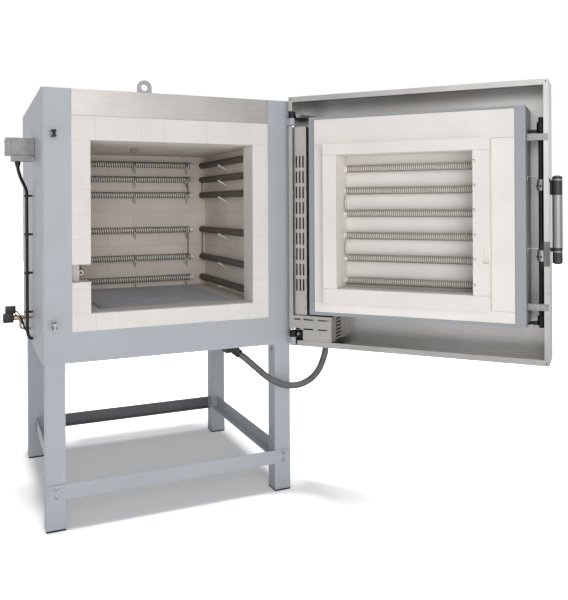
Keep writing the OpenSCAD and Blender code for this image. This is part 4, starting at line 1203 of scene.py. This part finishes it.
def colourHinges():
    # The hubs of the hinge arms are black, their plates zinc plated
    piece = bpy.data.objects[pieceName("hinge_arms")]
    piece.data.materials.append(finishes["blackSteel"])
    for face in piece.data.polygons:
        if (face.center.xy - door["hinge"].xy).length < hinges["hub"] * mm:
            face.material_index = 1


makeMortar()
makeVentSleeve()
colourCatches()
colourHinges()
print("collar and case finished")
makeDoorScrews()
makeRimMarks()
makeShaftGuides()
makeHubBolts()
makeStandBolts()
print("bolts and screws placed")
makeJunctionBox()
makeCableGland()
makeValve()
makeValveCoil()
print("junction box and valve built")
makeWallHooks()
makeDoorLinks()
makeDoorStaples()
makeCaseScrews()
print("small fittings placed")

studio = {
    "floorColour": (0.96, 0.96, 0.965),
    "floorSize": 12,
    # The camera's floor glow: low under the stand as a painted shadow, high far from it as painted light
    "floorLift": {
        "under": 0.13,
        "open": 0.38,
        "edge": (-0.025, 0.03),
        "far": 0.6,
        "farPaintedLightEdge": (0.08, 0.4),
    },
    "world": 0.2,
    "backdropGlow": 1.0,
    "sun": {"strength": 1.95, "spread": 9},
    "lamps": [
        # name, place, aim, size, power
        ("frontLow", (-0.3, -5.5, 0.9), (0.1, -0.3, 0.9), 3.2, 78),
        ("frontLeft", (-3.4, -4.2, 1.6), (0.1, -0.2, 0.9), 2.2, 16),
        ("overCamera", (-0.8, -4.2, 2.2), (0.1, -0.2, 0.9), 1.6, 22),
    ],
}


def floorFinish():
    # Pale floor that reads as the white backdrop, with a painted shadow under the stand and painted light far
    # from it
    made = Finish("paleFloor", 0.9, Specular_IOR_Level=0.0)
    made.shader.inputs["Base Color"].default_value = (*studio["floorColour"], 1)
    # The lift is held back within the stand's outline, by the distance from it: a painted shadow under the
    # furnace. Far from the outline the lift grows, painted light that fades shadows there, such as the door's
    parts = made.nodes.new("ShaderNodeSeparateXYZ")
    made.links.new(made.place(), parts.inputs["Vector"])
    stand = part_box("foot_plates")[1]
    outside = [made.calculate("SUBTRACT", made.calculate("ABSOLUTE", parts.outputs[axis]), half)
               for axis, half in (("X", stand.x), ("Y", stand.y))]
    farther = made.calculate("MAXIMUM", *outside)
    lift = studio["floorLift"]
    near = made.range(farther, lift["under"], lift["open"], lift["edge"])
    far = made.range(farther, 0, lift["far"], lift["farPaintedLightEdge"])
    glow = made.nodes.new("ShaderNodeEmission")
    made.links.new(made.calculate("ADD", near, far), glow.inputs["Strength"])
    # Only the camera sees the lift
    rays = made.nodes.new("ShaderNodeLightPath")
    add = made.nodes.new("ShaderNodeAddShader")
    mix = made.nodes.new("ShaderNodeMixShader")
    made.links.new(made.shader.outputs[0], add.inputs[0])
    made.links.new(glow.outputs[0], add.inputs[1])
    made.links.new(rays.outputs["Is Camera Ray"], mix.inputs["Fac"])
    made.links.new(made.shader.outputs[0], mix.inputs[1])
    made.links.new(add.outputs[0], mix.inputs[2])
    made.links.new(mix.outputs[0], made.nodes["Material Output"].inputs["Surface"])
    return made.material


def makeFloor():
    bm = bmesh.new()
    bmesh.ops.create_grid(bm, x_segments=2, y_segments=2, size=studio["floorSize"])
    makePiece("floor", bm, floorFinish())


def makeWorld():
    # White for the camera and for reflections, a dim light for everything else
    world = bpy.data.worlds.new("studio")
    scene.world = world
    world.use_nodes = True
    nodes, links = world.node_tree.nodes, world.node_tree.links
    soft = nodes["Background"]
    soft.inputs["Color"].default_value = (1, 1, 1, 1)
    soft.inputs["Strength"].default_value = studio["world"]
    white = nodes.new("ShaderNodeBackground")
    white.inputs["Color"].default_value = (1, 1, 1, 1)
    white.inputs["Strength"].default_value = studio["backdropGlow"]
    rays = nodes.new("ShaderNodeLightPath")
    either = nodes.new("ShaderNodeMath")
    either.operation = "MAXIMUM"
    mix = nodes.new("ShaderNodeMixShader")
    links.new(rays.outputs["Is Camera Ray"], either.inputs[0])
    links.new(rays.outputs["Is Glossy Ray"], either.inputs[1])
    links.new(either.outputs[0], mix.inputs["Fac"])
    links.new(soft.outputs[0], mix.inputs[1])
    links.new(white.outputs[0], mix.inputs[2])
    links.new(mix.outputs[0], nodes["World Output"].inputs["Surface"])


def makeLamps():
    # An even light from straight above puts the case's own outline on the floor
    above = bpy.data.lights.new("above", "SUN")
    above.energy = studio["sun"]["strength"]
    above.angle = math.radians(studio["sun"]["spread"])
    sun = bpy.data.objects.new("above", above)
    scene.collection.objects.link(sun)
    sun.location = (0, 0, 4)
    for name, place, aim, size, power in studio["lamps"]:
        data = bpy.data.lights.new(name, "AREA")
        data.energy = power
        data.size = size
        lamp = bpy.data.objects.new(name, data)
        scene.collection.objects.link(lamp)
        lamp.matrix_world = facing(Vector(place), Vector(place) - Vector(aim))


makeFloor()
makeWorld()
makeLamps()
print("studio ready")
